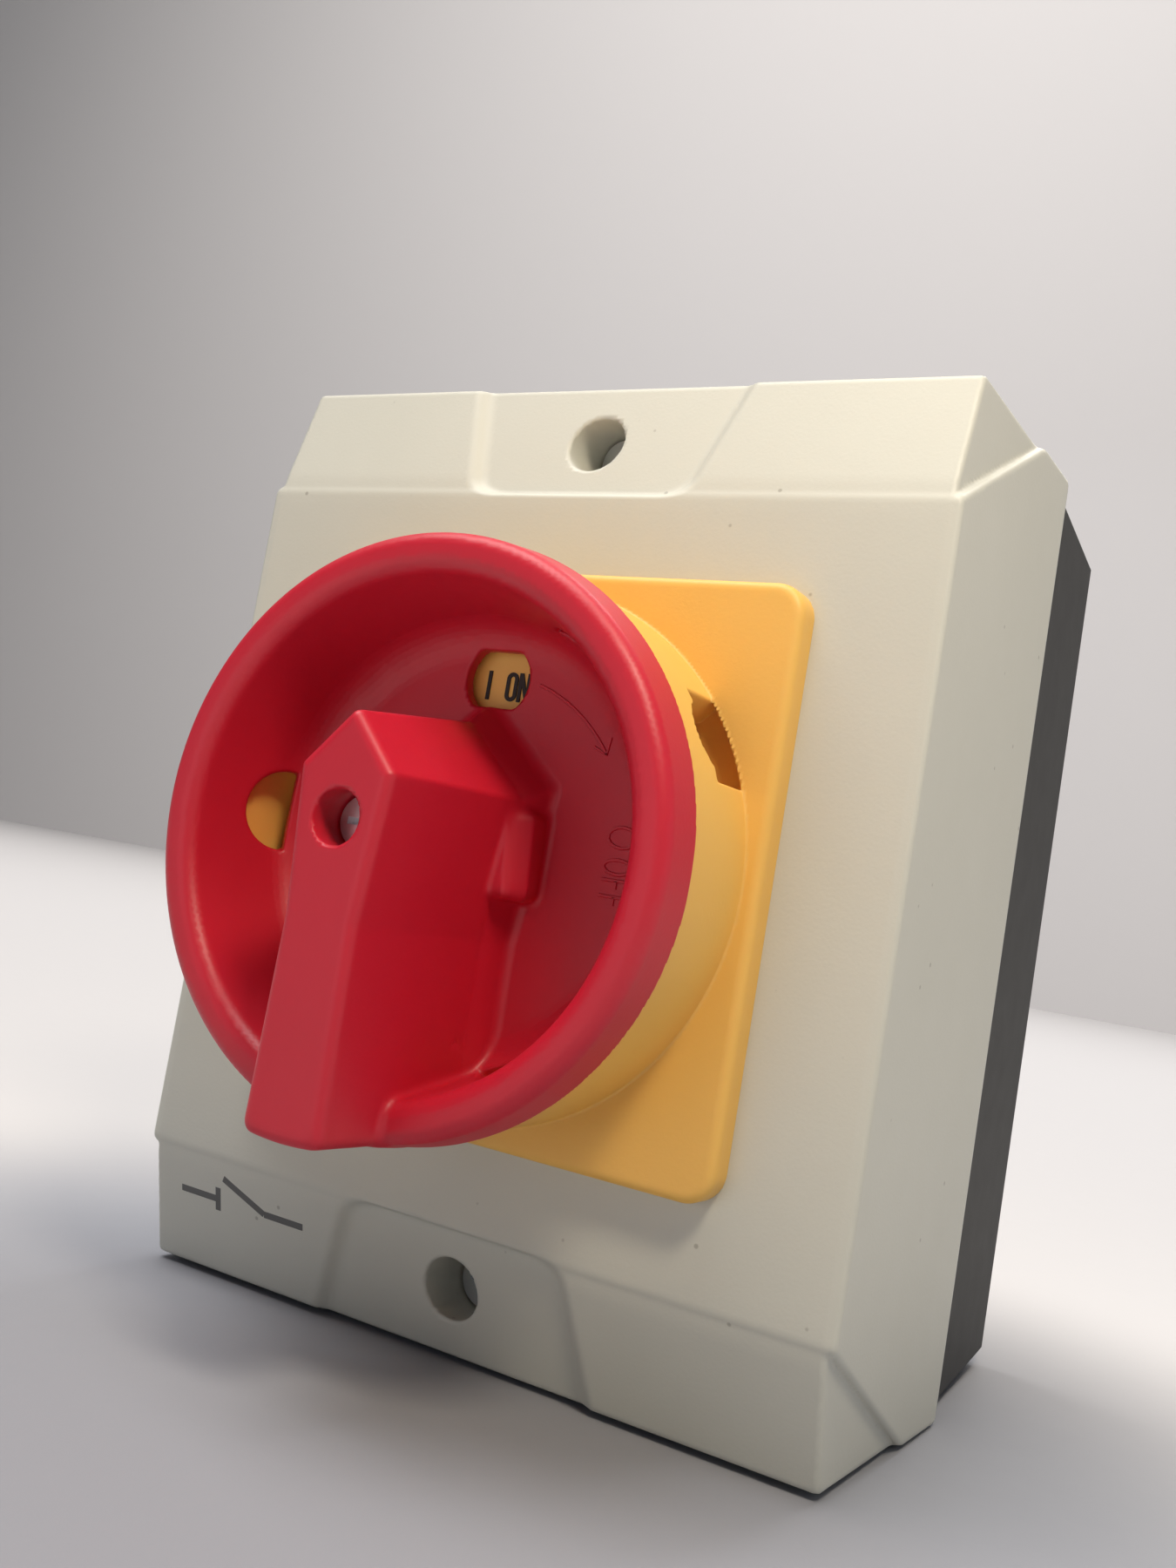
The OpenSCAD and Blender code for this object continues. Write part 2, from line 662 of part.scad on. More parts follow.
// One contact deck, with a terminal pocket at its upper and lower side
module contact_deck(level) color(deck_black) facing() {
    low = deck_z + (level - 1) * deck_t;
    translate([0, 0, low]) difference() {
        translate([0, 0, deck_t / 2]) cube([deck_size, deck_size, deck_t], center = true);
        translate([0, 0, 1.6]) cylinder(r = deck_bore_r, h = deck_t);
        translate([0, 0, -through]) cylinder(r = deck_neck_r, h = deck_t);
        for (side = [-1, 1]) {
            translate([side * stack_x, 0, -through]) cylinder(r = stack_r + 0.1, h = deck_t + 2 * through);
            translate([-pocket_w / 2, side * (deck_size / 2 + 10) - 10 - side * (deck_size / 2 - tab_y), 1.6])
                cube([pocket_w, 20, deck_t]);
            mirror([0, side < 0 ? 1 : 0, 0])
                translate([-blade_w / 2 - 0.3, deck_bore_r - 1.7, blade_level - small_gap])
                    cube([blade_w + 0.6, tab_y - deck_bore_r + 3.2, deck_t]);
            translate([0, side * 20, blade_level + 2]) rotate([side * 90, 0, 0])
                translate([0, 0, -0.1]) cylinder(r = 1.6, h = 0.1);
        }
    }
}

// Fixed contacts on one side, one to a deck: a strip with an upright tab
module fixed_contacts(side) color(copper) facing()
    for (level = [0 : decks - 1]) translate([0, 0, deck_z + level * deck_t]) mirror([0, side < 0 ? 1 : 0, 0])
        difference() {
            union() {
                translate([-blade_w / 2, contact_reach - 2, blade_level])
                    cube([blade_w, tab_y - contact_reach + 2.1, blade_t]);
                translate([-4, tab_y + small_gap, 2]) cube([8, tab_t, 6.6]);
            }
            cylinder(r = contact_reach, h = 20);
            translate([0, 30, 6.8]) rotate([90, 0, 0]) cylinder(r = 1.1, h = 20);
        }

// Square washers under the terminal screws
module wire_clamps(side) color(zinc) facing()
    for (level = [0 : decks - 1]) translate([0, 0, deck_z + level * deck_t]) mirror([0, side < 0 ? 1 : 0, 0])
        difference() {
            translate([-3.4, tab_y + tab_t + 2 * small_gap, 4.4]) cube([6.8, clamp_t, 4.2]);
            translate([0, 30, 6.8]) rotate([90, 0, 0]) cylinder(r = 1.1, h = 20);
        }

module terminal_screws(side) color(zinc) facing()
    for (level = [0 : decks - 1]) translate([0, 0, deck_z + level * deck_t]) mirror([0, side < 0 ? 1 : 0, 0])
        translate([0, tab_y + tab_t + clamp_t + 3 * small_gap, 6.8]) rotate([-90, 0, 0])
            pan_screw(2, 1.5, 1, 3.6);

// ---- Index mechanism ----

wheel_r = 11;
wheel_z = index_z + 2;
wheel_t = 5;
wheel_neck_r = 7.35;
roller_r = 2;
roller_y = wheel_r + 0.3 + roller_r;
spring_low_y = roller_y + roller_r + 0.2;
spring_high_y = deck_size / 2 - 2.4;
spring_coil_r = 1.5;
spring_wire_r = 0.3;

module index_housing() color(deck_black) facing() difference() {
    translate([-deck_size / 2, -deck_size / 2, index_z]) cube([deck_size, deck_size, index_t]);
    translate([0, 0, index_z - through]) cylinder(r = wheel_r + 0.8, h = 9.5 + through);
    translate([0, 0, index_z]) cylinder(r = wheel_neck_r + run_gap, h = index_t + through);
    translate([-roller_r - 0.2, -spring_high_y - 0.1, index_z - through])
        cube([2 * roller_r + 0.4, 2 * spring_high_y + 0.2, 8.5 + through]);
    for (side = [-1, 1]) translate([side * stack_x, 0, index_z - through])
        cylinder(r = stack_r + 0.1, h = index_t + 2 * through);
}

module index_wheel() color(rotor_white) facing() difference() {
    union() {
        translate([0, 0, wheel_z]) cylinder(r = wheel_r, h = wheel_t);
        translate([0, 0, index_z + 0.1]) cylinder(r = rotor_neck_r, h = wheel_z - index_z);
        translate([0, 0, wheel_z + wheel_t - 0.1])
            cylinder(r = wheel_neck_r, h = index_z + index_t + 1 - wheel_z - wheel_t);
    }
    for (turn = [0 : 90 : 270]) rotate([0, 0, turn]) translate([0, roller_y - 1.2, wheel_z - through])
        cylinder(r = roller_r + 0.3, h = wheel_t + 2 * through);
    square_bore(index_z, index_z + index_t + 2);
}

// The square hole that the drive shaft passes through
module square_bore(low, high) {
    side = shaft_size + 2 * small_gap;
    translate([-side / 2, -side / 2, low - through]) cube([side, side, high - low + 2 * through]);
}

module detent_rollers() color(steel) facing()
    for (side = [-1, 1]) translate([0, side * roller_y, wheel_z]) cylinder(r = roller_r, h = wheel_t);

// Coil springs as a wire swept along a helix
spring_turns = 5;
turn_steps = 14;
wire_sides = 6;
function helix_point(step) = [
    spring_coil_r * cos(360 * step / turn_steps),
    spring_coil_r * sin(360 * step / turn_steps),
    spring_wire_r + (spring_high_y - spring_low_y - 2 * spring_wire_r) * step / (spring_turns * turn_steps)
];
spring_rings = [
    for (step = [0 : spring_turns * turn_steps])
        let (p = helix_point(step), turn = 360 * step / turn_steps)
            for (i = [0 : wire_sides - 1])
                let (a = 360 * i / wire_sides)
                    [p[0] + spring_wire_r * cos(a) * cos(turn), p[1] + spring_wire_r * cos(a) * sin(turn),
                     p[2] + spring_wire_r * sin(a)]
];
spring_steps = spring_turns * turn_steps;
spring_faces = concat(
    [[for (i = [0 : wire_sides - 1]) i]],
    [[for (i = [wire_sides - 1 : -1 : 0]) spring_steps * wire_sides + i]],
    [for (s = [0 : spring_steps - 1], i = [0 : wire_sides - 1])
        let (n = (i + 1) % wire_sides)
            [s * wire_sides + i, (s + 1) * wire_sides + i, (s + 1) * wire_sides + n, s * wire_sides + n]]
);

module detent_springs() color(steel) facing()
    for (side = [0, 1]) mirror([0, side, 0]) translate([0, spring_low_y, wheel_z + wheel_t / 2])
        rotate([-90, 0, 0]) polyhedron(points = spring_rings, faces = spring_faces);

module stack_screws() color(zinc) facing()
    for (side = [-1, 1]) translate([side * stack_x, 0, index_z + index_t + small_gap])
        pan_screw(2.8, 2, stack_r, index_t + decks * deck_t + foot_t - 0.6);

module stack_nuts() color(zinc) facing()
    for (side = [-1, 1]) translate([side * stack_x, 0, foot_z + 0.2]) difference() {
        cylinder(r = 3.1, h = 2.1, $fn = 6);
        translate([0, 0, -through]) cylinder(r = stack_r + small_gap, h = 5);
    }

// ---- Rotor ----

module drive_shaft() color(steel) facing() {
    translate([0, 0, shaft_low_z]) cylinder(r = journal_r, h = foot_z + foot_t - shaft_low_z);
    translate([-shaft_size / 2, -shaft_size / 2, foot_z + foot_t - 0.1])
        cube([shaft_size, shaft_size, shaft_top_z - foot_z - foot_t + 0.1]);
}

// The outline of a moving blade, grown by a gap
module blade_outline(gap) {
    square([blade_w + 2 * gap, 2 * (blade_reach + gap)], center = true);
    circle(r = 6.4 + gap);
}

module rotor(level) color(rotor_white) facing() {
    low = deck_z + (level - 1) * deck_t;
    difference() {
        union() {
            translate([0, 0, low + 1.9]) cylinder(r = rotor_r, h = deck_t - 2);
            translate([0, 0, low + 0.1]) cylinder(r = rotor_neck_r, h = 2);
        }
        square_bore(low, low + deck_t);
        translate([0, 0, low + blade_level - small_gap]) linear_extrude(height = deck_t)
            blade_outline(small_gap);
    }
}

module blade(level) color(copper) facing() {
    low = deck_z + (level - 1) * deck_t;
    difference() {
        translate([0, 0, low + blade_level]) linear_extrude(height = blade_t) intersection() {
            blade_outline(0);
            circle(r = blade_reach);
        }
        square_bore(low, low + deck_t);
    }
}

rear_base();
cover_gasket();
front_cover();
cover_screws();
cover_screw_seals();
base_inserts();
entry_plugs();
earth_holder();
earth_bar();
earth_screws();
handle_plate();
plate_seal();
plate_screws();
on_legend();
off_legend();
handle_knob();
handle_screw();
shaft_coupler();
hub_seal();
retaining_ring();
mounting_foot();
foot_screws();
contact_deck(1);  // contact_deck_1
contact_deck(2);  // contact_deck_2
contact_deck(3);  // contact_deck_3
contact_deck(4);  // contact_deck_4
fixed_contacts(1);  // line_contacts
fixed_contacts(-1);  // load_contacts
wire_clamps(1);  // line_clamps
wire_clamps(-1);  // load_clamps
terminal_screws(1);  // line_screws
terminal_screws(-1);  // load_screws
index_housing();
detent_rollers();
detent_springs();
stack_screws();
stack_nuts();
drive_shaft();
index_wheel();
rotor(1);  // rotor_1
rotor(2);  // rotor_2
rotor(3);  // rotor_3
rotor(4);  // rotor_4
blade(1);  // blade_1
blade(2);  // blade_2
blade(3);  // blade_3
blade(4);  // blade_4
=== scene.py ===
"""Rotary isolator switch: finishes, moulded detail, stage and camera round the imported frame."""

import json
import logging
import math
from dataclasses import dataclass
from enum import Enum
from typing import Callable

import bpy
import numpy as np
from mathutils import Matrix, Vector

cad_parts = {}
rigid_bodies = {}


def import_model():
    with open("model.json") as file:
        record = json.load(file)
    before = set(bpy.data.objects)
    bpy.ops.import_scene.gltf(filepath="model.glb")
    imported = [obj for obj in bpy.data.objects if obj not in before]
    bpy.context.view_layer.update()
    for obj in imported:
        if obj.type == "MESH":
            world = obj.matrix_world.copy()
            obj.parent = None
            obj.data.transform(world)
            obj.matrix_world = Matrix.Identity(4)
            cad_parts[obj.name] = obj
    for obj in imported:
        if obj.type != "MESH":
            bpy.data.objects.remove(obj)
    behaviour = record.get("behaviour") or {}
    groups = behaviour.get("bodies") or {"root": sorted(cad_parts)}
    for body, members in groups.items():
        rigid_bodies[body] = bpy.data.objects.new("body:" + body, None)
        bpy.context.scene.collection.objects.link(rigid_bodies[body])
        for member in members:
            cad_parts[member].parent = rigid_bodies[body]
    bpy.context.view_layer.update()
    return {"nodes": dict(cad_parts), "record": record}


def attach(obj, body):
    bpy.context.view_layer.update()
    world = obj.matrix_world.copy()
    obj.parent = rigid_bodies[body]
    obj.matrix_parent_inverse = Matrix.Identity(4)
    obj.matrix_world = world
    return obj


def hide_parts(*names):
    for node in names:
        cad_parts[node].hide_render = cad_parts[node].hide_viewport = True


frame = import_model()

LOG = logging.getLogger("isolator")
MM = 0.001
Field = Callable[[np.ndarray], np.ndarray]


# ---- Shapes as distance fields, in millimetres: x right, y up, z out of the wall ----


def smooth_min(a: np.ndarray, b: np.ndarray, k: float) -> np.ndarray:
    """Join two fields with a fillet.

    Args:
        a: Distances to the first shape.
        b: Distances to the second shape.
        k: Width over which the shapes run together.

    Returns:
        Distances to the joined shape.
    """
    h = np.maximum(k - np.abs(a - b), 0.0) / k
    return np.minimum(a, b) - h * h * k / 4


def smooth_max(a: np.ndarray, b: np.ndarray, k: float) -> np.ndarray:
    """Intersect two fields with a rounded edge; -b cuts shape b away."""
    return -smooth_min(-a, -b, k)


def polygon_distance(x: np.ndarray, y: np.ndarray, corners: list) -> np.ndarray:
    """Signed distance to a polygon.

    Args:
        x: First coordinate of each point.
        y: Second coordinate of each point.
        corners: The corners in order; each coordinate is a number or one value to a point.

    Returns:
        Distances, negative inside.
    """
    nearest = np.full(x.shape, 1e9, np.float32)
    inside = np.zeros(x.shape, bool)
    ax, ay = corners[-1]
    for bx, by in corners:
        ex, ey = bx - ax, by - ay
        t = np.clip(((x - ax) * ex + (y - ay) * ey) / (ex * ex + ey * ey), 0, 1)
        nearest = np.minimum(nearest, (x - ax - t * ex) ** 2 + (y - ay - t * ey) ** 2)
        crosses = (ay > y) != (by > y)
        with np.errstate(divide="ignore", invalid="ignore"):
            side = x < ax + (y - ay) / ey * ex
        inside ^= crosses & side
        ax, ay = bx, by
    return np.where(inside, -1, 1) * np.sqrt(nearest)


def inset(corners: list, gap: float) -> list:
    """Move every side of an outline inwards.

    Args:
        corners: Outline, clockwise.
        gap: How far the sides move.

    Returns:
        The corners of the smaller outline.
    """
    moved = []
    count = len(corners)
    for i in range(count):
        before, here, after = (Vector(corners[(i + k) % count]) for k in (-1, 0, 1))
        first, second = (here - before).normalized(), (after - here).normalized()
        n1, n2 = Vector((first.y, -first.x)), Vector((second.y, -second.x))
        corner = here + (n1 + n2) * gap / (1 + n1.dot(n2))
        moved.append((corner.x, corner.y))
    return moved


def arc(centre: tuple, radius: float, start: float, end: float, steps: int) -> list:
    """Points along an arc, from start to end in degrees."""
    angles = [math.radians(start + (end - start) * i / steps) for i in range(steps + 1)]
    return [(centre[0] + radius * math.cos(a), centre[1] + radius * math.sin(a)) for a in angles]


@dataclass(frozen=True)
class SkinMaker:
    """Turns a distance field into a smooth mesh."""

    step: float = 0.4
    block: int = 4
    margin: float = 1.25
    passes: int = 3
    pull_share: float = 0.9
    least_slope: float = 0.3
    slope_reach: float = 0.12

    def grid(self, field: Field, low: tuple, high: tuple) -> tuple:
        """Sample the field, finely only near its surface.

        Args:
            field: Distances of points.
            low: Lowest corner.
            high: Highest corner.

        Returns:
            The values on the fine grid, and the place of its first point.
        """
        low = np.array(low, np.float32)
        wide = self.step * self.block
        count = np.ceil((np.array(high) - low) / wide).astype(int)
        middle = np.stack(np.meshgrid(*[np.arange(n) for n in count], indexing="ij"), -1)
        centres = (low + (middle.reshape(-1, 3) + 0.5) * wide).astype(np.float32)
        rough = field(centres).reshape(count)
        near = np.abs(rough) < wide * self.margin
        fine = rough.astype(np.float32)
        for axis in range(3):
            fine = np.repeat(fine, self.block, axis)
            near = np.repeat(near, self.block, axis)
        fine = np.pad(fine, ((0, 1),) * 3, mode="edge")
        wanted = np.zeros(fine.shape, bool)
        for dx in (0, 1):
            for dy in (0, 1):
                for dz in (0, 1):
                    ends = [d + n for d, n in zip((dx, dy, dz), near.shape)]
                    wanted[dx:ends[0], dy:ends[1], dz:ends[2]] |= near
        at = np.argwhere(wanted)
        fine[wanted] = field((low + at * self.step).astype(np.float32))
        return fine, low

    def mesh(self, name: str, field: Field, low: tuple, high: tuple) -> bpy.types.Mesh:
        """Build the mesh of a field's surface.

        Args:
            name: Name of the mesh.
            field: Distances of points.
            low: Lowest corner of the box to search.
            high: Highest corner.

        Returns:
            A mesh in the row frame, in metres, with the field's own normals.
        """
        value, start = self.grid(field, low, high)
        inside = value < 0
        cells = tuple(n - 1 for n in value.shape)
        corner = [(i, j, k) for i in (0, 1) for j in (0, 1) for k in (0, 1)]
        held = sum(inside[i:i + cells[0], j:j + cells[1], k:k + cells[2]].astype(np.int8)
                   for i, j, k in corner)
        cell = np.argwhere((held > 0) & (held < 8))
        number = np.full(cells, -1, np.int32)
        number[tuple(cell.T)] = np.arange(len(cell))
        total, share = np.zeros((len(cell), 3)), np.zeros(len(cell))
        for a in corner:
            for axis in range(3):
                if a[axis]:
                    continue
                b = list(a)
                b[axis] = 1
                va, vb = value[tuple((cell + a).T)], value[tuple((cell + b).T)]
                cut = (va < 0) != (vb < 0)
                t = np.where(cut, va / np.where(cut, va - vb, 1), 0)
                place = np.array(a) + t[:, None] * (np.array(b) - np.array(a))
                total += place * cut[:, None]
                share += cut
        spots = (start + (cell + total / share[:, None]) * self.step).astype(np.float32)
        for _ in range(self.passes):
            slope = self.slope(field, spots)
            steep = np.maximum((slope ** 2).sum(1), self.least_slope)
            pull = np.clip(field(spots) / steep, -self.step / 2, self.step / 2)
            spots -= (slope * pull[:, None] * self.pull_share).astype(np.float32)
        faces = []
        for axis in range(3):
            head, tail = [slice(None)] * 3, [slice(None)] * 3
            head[axis], tail[axis] = slice(0, -1), slice(1, None)
            flip = inside[tuple(head)].astype(np.int8) - inside[tuple(tail)]
            edge = np.argwhere(flip != 0)
            others = [i for i in range(3) if i != axis]
            held_in = (edge[:, others] > 0) & (edge[:, others] < np.array(cells)[others])
            edge = edge[held_in.all(1)]
            way = flip[tuple(edge.T)] > 0
            ring = []
            for du, dv in ((-1, -1), (0, -1), (0, 0), (-1, 0)):
                at = edge.copy()
                at[:, others[0]] += du
                at[:, others[1]] += dv
                ring.append(number[tuple(at.T)])
            quad = np.stack(ring, 1)
            turn = way if axis != 1 else ~way
            faces.append(np.where(turn[:, None], quad, quad[:, ::-1]))
        quads = np.concatenate(faces)
        normal = self.slope(field, spots)
        normal /= np.maximum(np.linalg.norm(normal, axis=1, keepdims=True), 1e-9)
        return skin(name, to_row(spots), quads, to_row(normal, 1.0))

    def slope(self, field: Field, spots: np.ndarray) -> np.ndarray:
        """Measure the field's gradient.

        Args:
            field: Distances of points.
            spots: Where to measure, one to a row.

        Returns:
            One gradient to a row.
        """
        reach = self.step * self.slope_reach
        parts = []
        for axis in range(3):
            shift = np.zeros(3, np.float32)
            shift[axis] = reach
            parts.append((field(spots + shift) - field(spots - shift)) / (2 * reach))
        return np.stack(parts, 1)


def to_row(p: np.ndarray, scale: float = MM) -> np.ndarray:
    """Turn drawing coordinates (x right, y up, z out) into the row frame."""
    return np.stack([p[:, 0], -p[:, 2], p[:, 1]], 1) * scale


def skin(name: str, places: np.ndarray, faces: np.ndarray, normals: np.ndarray) -> bpy.types.Mesh:
    """Make a smooth mesh from arrays.

    Args:
        name: Name of the mesh.
        places: Corners in metres.
        faces: Four corner numbers to a face.
        normals: One normal to a corner.

    Returns:
        The mesh.
    """
    mesh = bpy.data.meshes.new(name)
    mesh.vertices.add(len(places))
    mesh.vertices.foreach_set("co", places.astype(np.float32).ravel())
    mesh.loops.add(faces.size)
    mesh.loops.foreach_set("vertex_index", faces.astype(np.int32).ravel())
    mesh.polygons.add(len(faces))
    mesh.polygons.foreach_set("loop_start", np.arange(0, faces.size, 4, dtype=np.int32))
    mesh.update(calc_edges=True)
    mesh.validate()
    mesh.polygons.foreach_set("use_smooth", np.ones(len(mesh.polygons), bool))
    mesh.normals_split_custom_set_from_vertices(normals.tolist())
    return mesh


# ---- Finishes ----


def linear(red: int, green: int, blue: int) -> tuple:
    """Turn screen values into scene-linear colour, by the usual screen curve.

    Args:
        red: Red from 0 to 255.
        green: Green from 0 to 255.
        blue: Blue from 0 to 255.

    Returns:
        The colour, opaque.
    """
    shares = [value / 255 for value in (red, green, blue)]
    bent = [s / 12.92 if s <= 0.04045 else ((s + 0.055) / 1.055) ** 2.4 for s in shares]
    return (*bent, 1.0)


def noise(
    tree: bpy.types.NodeTree, place: bpy.types.NodeSocket, scale: float, detail: float
) -> bpy.types.NodeSocket:
    """Add a noise over the object's own coordinates.

    Args:
        tree: The material's nodes.
        place: Socket with the coordinates.
        scale: Clouds to a metre.
        detail: Levels of finer clouds.

    Returns:
        The socket with the noise.
    """
    node = tree.nodes.new("ShaderNodeTexNoise")
    node.inputs["Scale"].default_value = scale
    node.inputs["Detail"].default_value = detail
    tree.links.new(place, node.inputs["Vector"])
    return node.outputs["Fac"]


def ramp(
    tree: bpy.types.NodeTree, value: bpy.types.NodeSocket, reach: tuple, ends: tuple
) -> bpy.types.Node:
    """Add a node that turns one span of values into another.

    Args:
        tree: The material's nodes.
        value: Socket to read.
        reach: The values at the ends of the span.
        ends: What they become.

    Returns:
        The node.
    """
    node = tree.nodes.new("ShaderNodeMapRange")
    for key, number in zip(("From Min", "From Max", "To Min", "To Max"), reach + ends):
        node.inputs[key].default_value = number
    tree.links.new(value, node.inputs["Value"])
    return node


def blend(
    tree: bpy.types.NodeTree, share: bpy.types.NodeSocket, first: object, second: tuple
) -> bpy.types.NodeSocket:
    """Mix two colours.

    Args:
        tree: The material's nodes.
        share: Socket with the second colour's share.
        first: The first colour, as numbers or as a socket.
        second: The second colour, as numbers.

    Returns:
        The socket with the mixed colour.
    """
    node = tree.nodes.new("ShaderNodeMix")
    node.data_type = "RGBA"
    if isinstance(first, bpy.types.NodeSocket):
        tree.links.new(first, node.inputs[6])
    else:
        node.inputs[6].default_value = first
    node.inputs[7].default_value = second
    tree.links.new(share, node.inputs[0])
    return node.outputs[2]


class Grain(Enum):
    """Surface texture of a moulded or worked piece: scale per metre and depth in metres."""

    SATIN = (2600.0, 0.00004)
    FINE = (4200.0, 0.00002)
    BRUSHED = (3500.0, 0.00002)


@dataclass(frozen=True)
class Finish:
    """A procedural finish. Colours are scene-linear; sizes are in metres."""

    name: str
    colour: tuple
    second: tuple
    roughness: float
    grain: Grain = Grain.SATIN
    metallic: float = 0.0
    soft_edge: float = 0.0
    glow: float = 0.0
    specks: float = 0.0
    cloud_scale: float = 38.0
    rub_scale: float = 210.0
    rub_depth: float = 0.06
    grain_strength: float = 0.35
    glow_depth: float = 0.0015
    speck_scale: float = 190.0
    speck_reach: tuple = (0.035, 0.06)
    speck_tint: tuple = linear(95, 85, 72)

    def build(self) -> bpy.types.Material:
        """Build the material.

        Returns:
            A new material with colour, roughness and relief driven by noise.
        """
        made = bpy.data.materials.new(self.name)
        made.use_nodes = True
        tree = made.node_tree
        link = tree.links.new
        shader = tree.nodes["Principled BSDF"]
        shader.inputs["Metallic"].default_value = self.metallic
        place = tree.nodes.new("ShaderNodeTexCoord").outputs["Object"]
        clouds = noise(tree, place, self.cloud_scale, 4.0)
        tint = blend(tree, clouds, self.colour, self.second)
        if self.specks:
            tint = self.dirty(tree, place, tint)
        link(tint, shader.inputs["Base Color"])
        ends = (self.roughness - self.rub_depth, self.roughness + self.rub_depth)
        rub = ramp(tree, noise(tree, place, self.rub_scale, 3.0), (0.0, 1.0), ends)
        link(rub.outputs["Result"], shader.inputs["Roughness"])
        scale, depth = self.grain.value
        bump = tree.nodes.new("ShaderNodeBump")
        bump.inputs["Distance"].default_value = depth
        bump.inputs["Strength"].default_value = self.grain_strength
        link(noise(tree, place, scale, 2.0), bump.inputs["Height"])
        if self.soft_edge:
            edge = tree.nodes.new("ShaderNodeBevel")
            edge.samples = 6
            edge.inputs["Radius"].default_value = self.soft_edge
            link(edge.outputs["Normal"], bump.inputs["Normal"])
        link(bump.outputs["Normal"], shader.inputs["Normal"])
        if self.glow:
            shader.inputs["Subsurface Weight"].default_value = self.glow
            shader.inputs["Subsurface Radius"].default_value = self.colour[:3]
            shader.inputs["Subsurface Scale"].default_value = self.glow_depth
        return made

    def dirty(
        self, tree: bpy.types.NodeTree, place: bpy.types.NodeSocket, tint: bpy.types.NodeSocket
    ) -> bpy.types.NodeSocket:
        """Add sparse dark specks over a colour.

        Args:
            tree: The material's nodes.
            place: Socket with the coordinates.
            tint: Socket with the clean colour.

        Returns:
            The socket with the soiled colour.
        """
        cells = tree.nodes.new("ShaderNodeTexVoronoi")
        cells.inputs["Scale"].default_value = self.speck_scale
        cells.inputs["Randomness"].default_value = 1.0
        tree.links.new(place, cells.inputs["Vector"])
        dot = ramp(tree, cells.outputs["Distance"], self.speck_reach, (self.specks, 0.0))
        return blend(tree, dot.outputs["Result"], tint, self.speck_tint)


FINISHES = (
    Finish(
        "cover_grey", linear(208, 207, 196), linear(201, 200, 188), 0.5, glow=0.05, specks=0.4
    ),
    Finish("base_black", linear(50, 49, 47), linear(44, 43, 42), 0.68, soft_edge=0.0004),
    Finish("handle_red", linear(200, 26, 50), linear(190, 22, 44), 0.44, glow=0.2),
    Finish("plate_yellow", linear(240, 190, 98), linear(234, 182, 88), 0.48, glow=0.1),
    Finish("legend_ink", linear(38, 30, 26), linear(30, 25, 22), 0.6, Grain.FINE),
    Finish("seal_rubber", linear(34, 34, 34), linear(26, 26, 26), 0.75),
    Finish(
        "zinc_steel", linear(236, 238, 240), linear(212, 216, 220), 0.30, Grain.BRUSHED, 1.0
    ),
    Finish(
        "plain_steel", linear(170, 170, 172), linear(150, 151, 155), 0.36, Grain.BRUSHED, 1.0
    ),
    Finish(
        "terminal_brass", linear(206, 172, 98), linear(190, 156, 84), 0.34, Grain.BRUSHED, 1.0
    ),
    Finish(
        "contact_copper", linear(202, 128, 92), linear(186, 112, 78), 0.36, Grain.BRUSHED, 1.0
    ),
    Finish("deck_black", linear(44, 44, 47), linear(36, 36, 39), 0.52),
    Finish("rotor_white", linear(222, 219, 208), linear(212, 209, 197), 0.46),
)
MATERIALS = {finish.name: finish.build() for finish in FINISHES}
SLOTS = {part["node"]: part["material_slot"] for part in frame["record"]["subparts"]}


# ---- Pieces that keep their CAD shapes ----


def dress(nodes: tuple) -> None:
    """Give CAD nodes the finishes that their material slots name.

    Args:
        nodes: Names of the nodes.
    """
    for name in nodes:
        mesh = frame["nodes"][name].data
        mesh.materials.clear()
        mesh.materials.append(MATERIALS[SLOTS[name]])
        LOG.info("%s: %s", name, SLOTS[name])


@dataclass
class Enclosure:
    """The back box with its seal, screws, plugs and earth terminal."""

    shells: tuple = ("rear_base", "cover_gasket", "entry_plugs")
    fasteners: tuple = ("cover_screws", "cover_screw_seals", "base_inserts")
    earth: tuple = ("earth_holder", "earth_bar", "earth_screws")

    def build(self) -> None:
        """Dress the pieces."""
        dress(self.shells + self.fasteners + self.earth)


@dataclass
class SwitchBody:
    """The stack of contact decks with its foot, terminals and click mechanism."""

    decks: int = 4
    frame_pieces: tuple = ("mounting_foot", "foot_screws", "stack_screws", "stack_nuts")
    index: tuple = ("index_housing", "detent_rollers", "detent_springs")
    sides: tuple = ("line", "load")
    terminals: tuple = ("contacts", "clamps", "screws")

    def build(self) -> None:
        """Dress the pieces."""
        dress(self.frame_pieces + self.index)
        dress(tuple(f"contact_deck_{level}" for level in range(1, self.decks + 1)))
        dress(tuple(f"{side}_{kind}" for side in self.sides for kind in self.terminals))


@dataclass
class Rotor:
    """What turns inside the decks."""

    decks: int = 4
    shaft: tuple = ("drive_shaft", "index_wheel")

    def build(self) -> None:
        """Dress the pieces."""
        dress(self.shaft)
        levels = range(1, self.decks + 1)
        dress(tuple(f"{kind}_{level}" for level in levels for kind in ("rotor", "blade")))


@dataclass
class HandleFittings:
    """The small pieces round the plate and the knob."""

    fixed: tuple = ("plate_seal", "plate_screws", "on_legend", "off_legend")
    turning: tuple = ("handle_screw", "shaft_coupler", "hub_seal", "retaining_ring")

    def build(self) -> None:
        """Dress the pieces."""
        dress(self.fixed + self.turning)


# ---- Moulded pieces ----


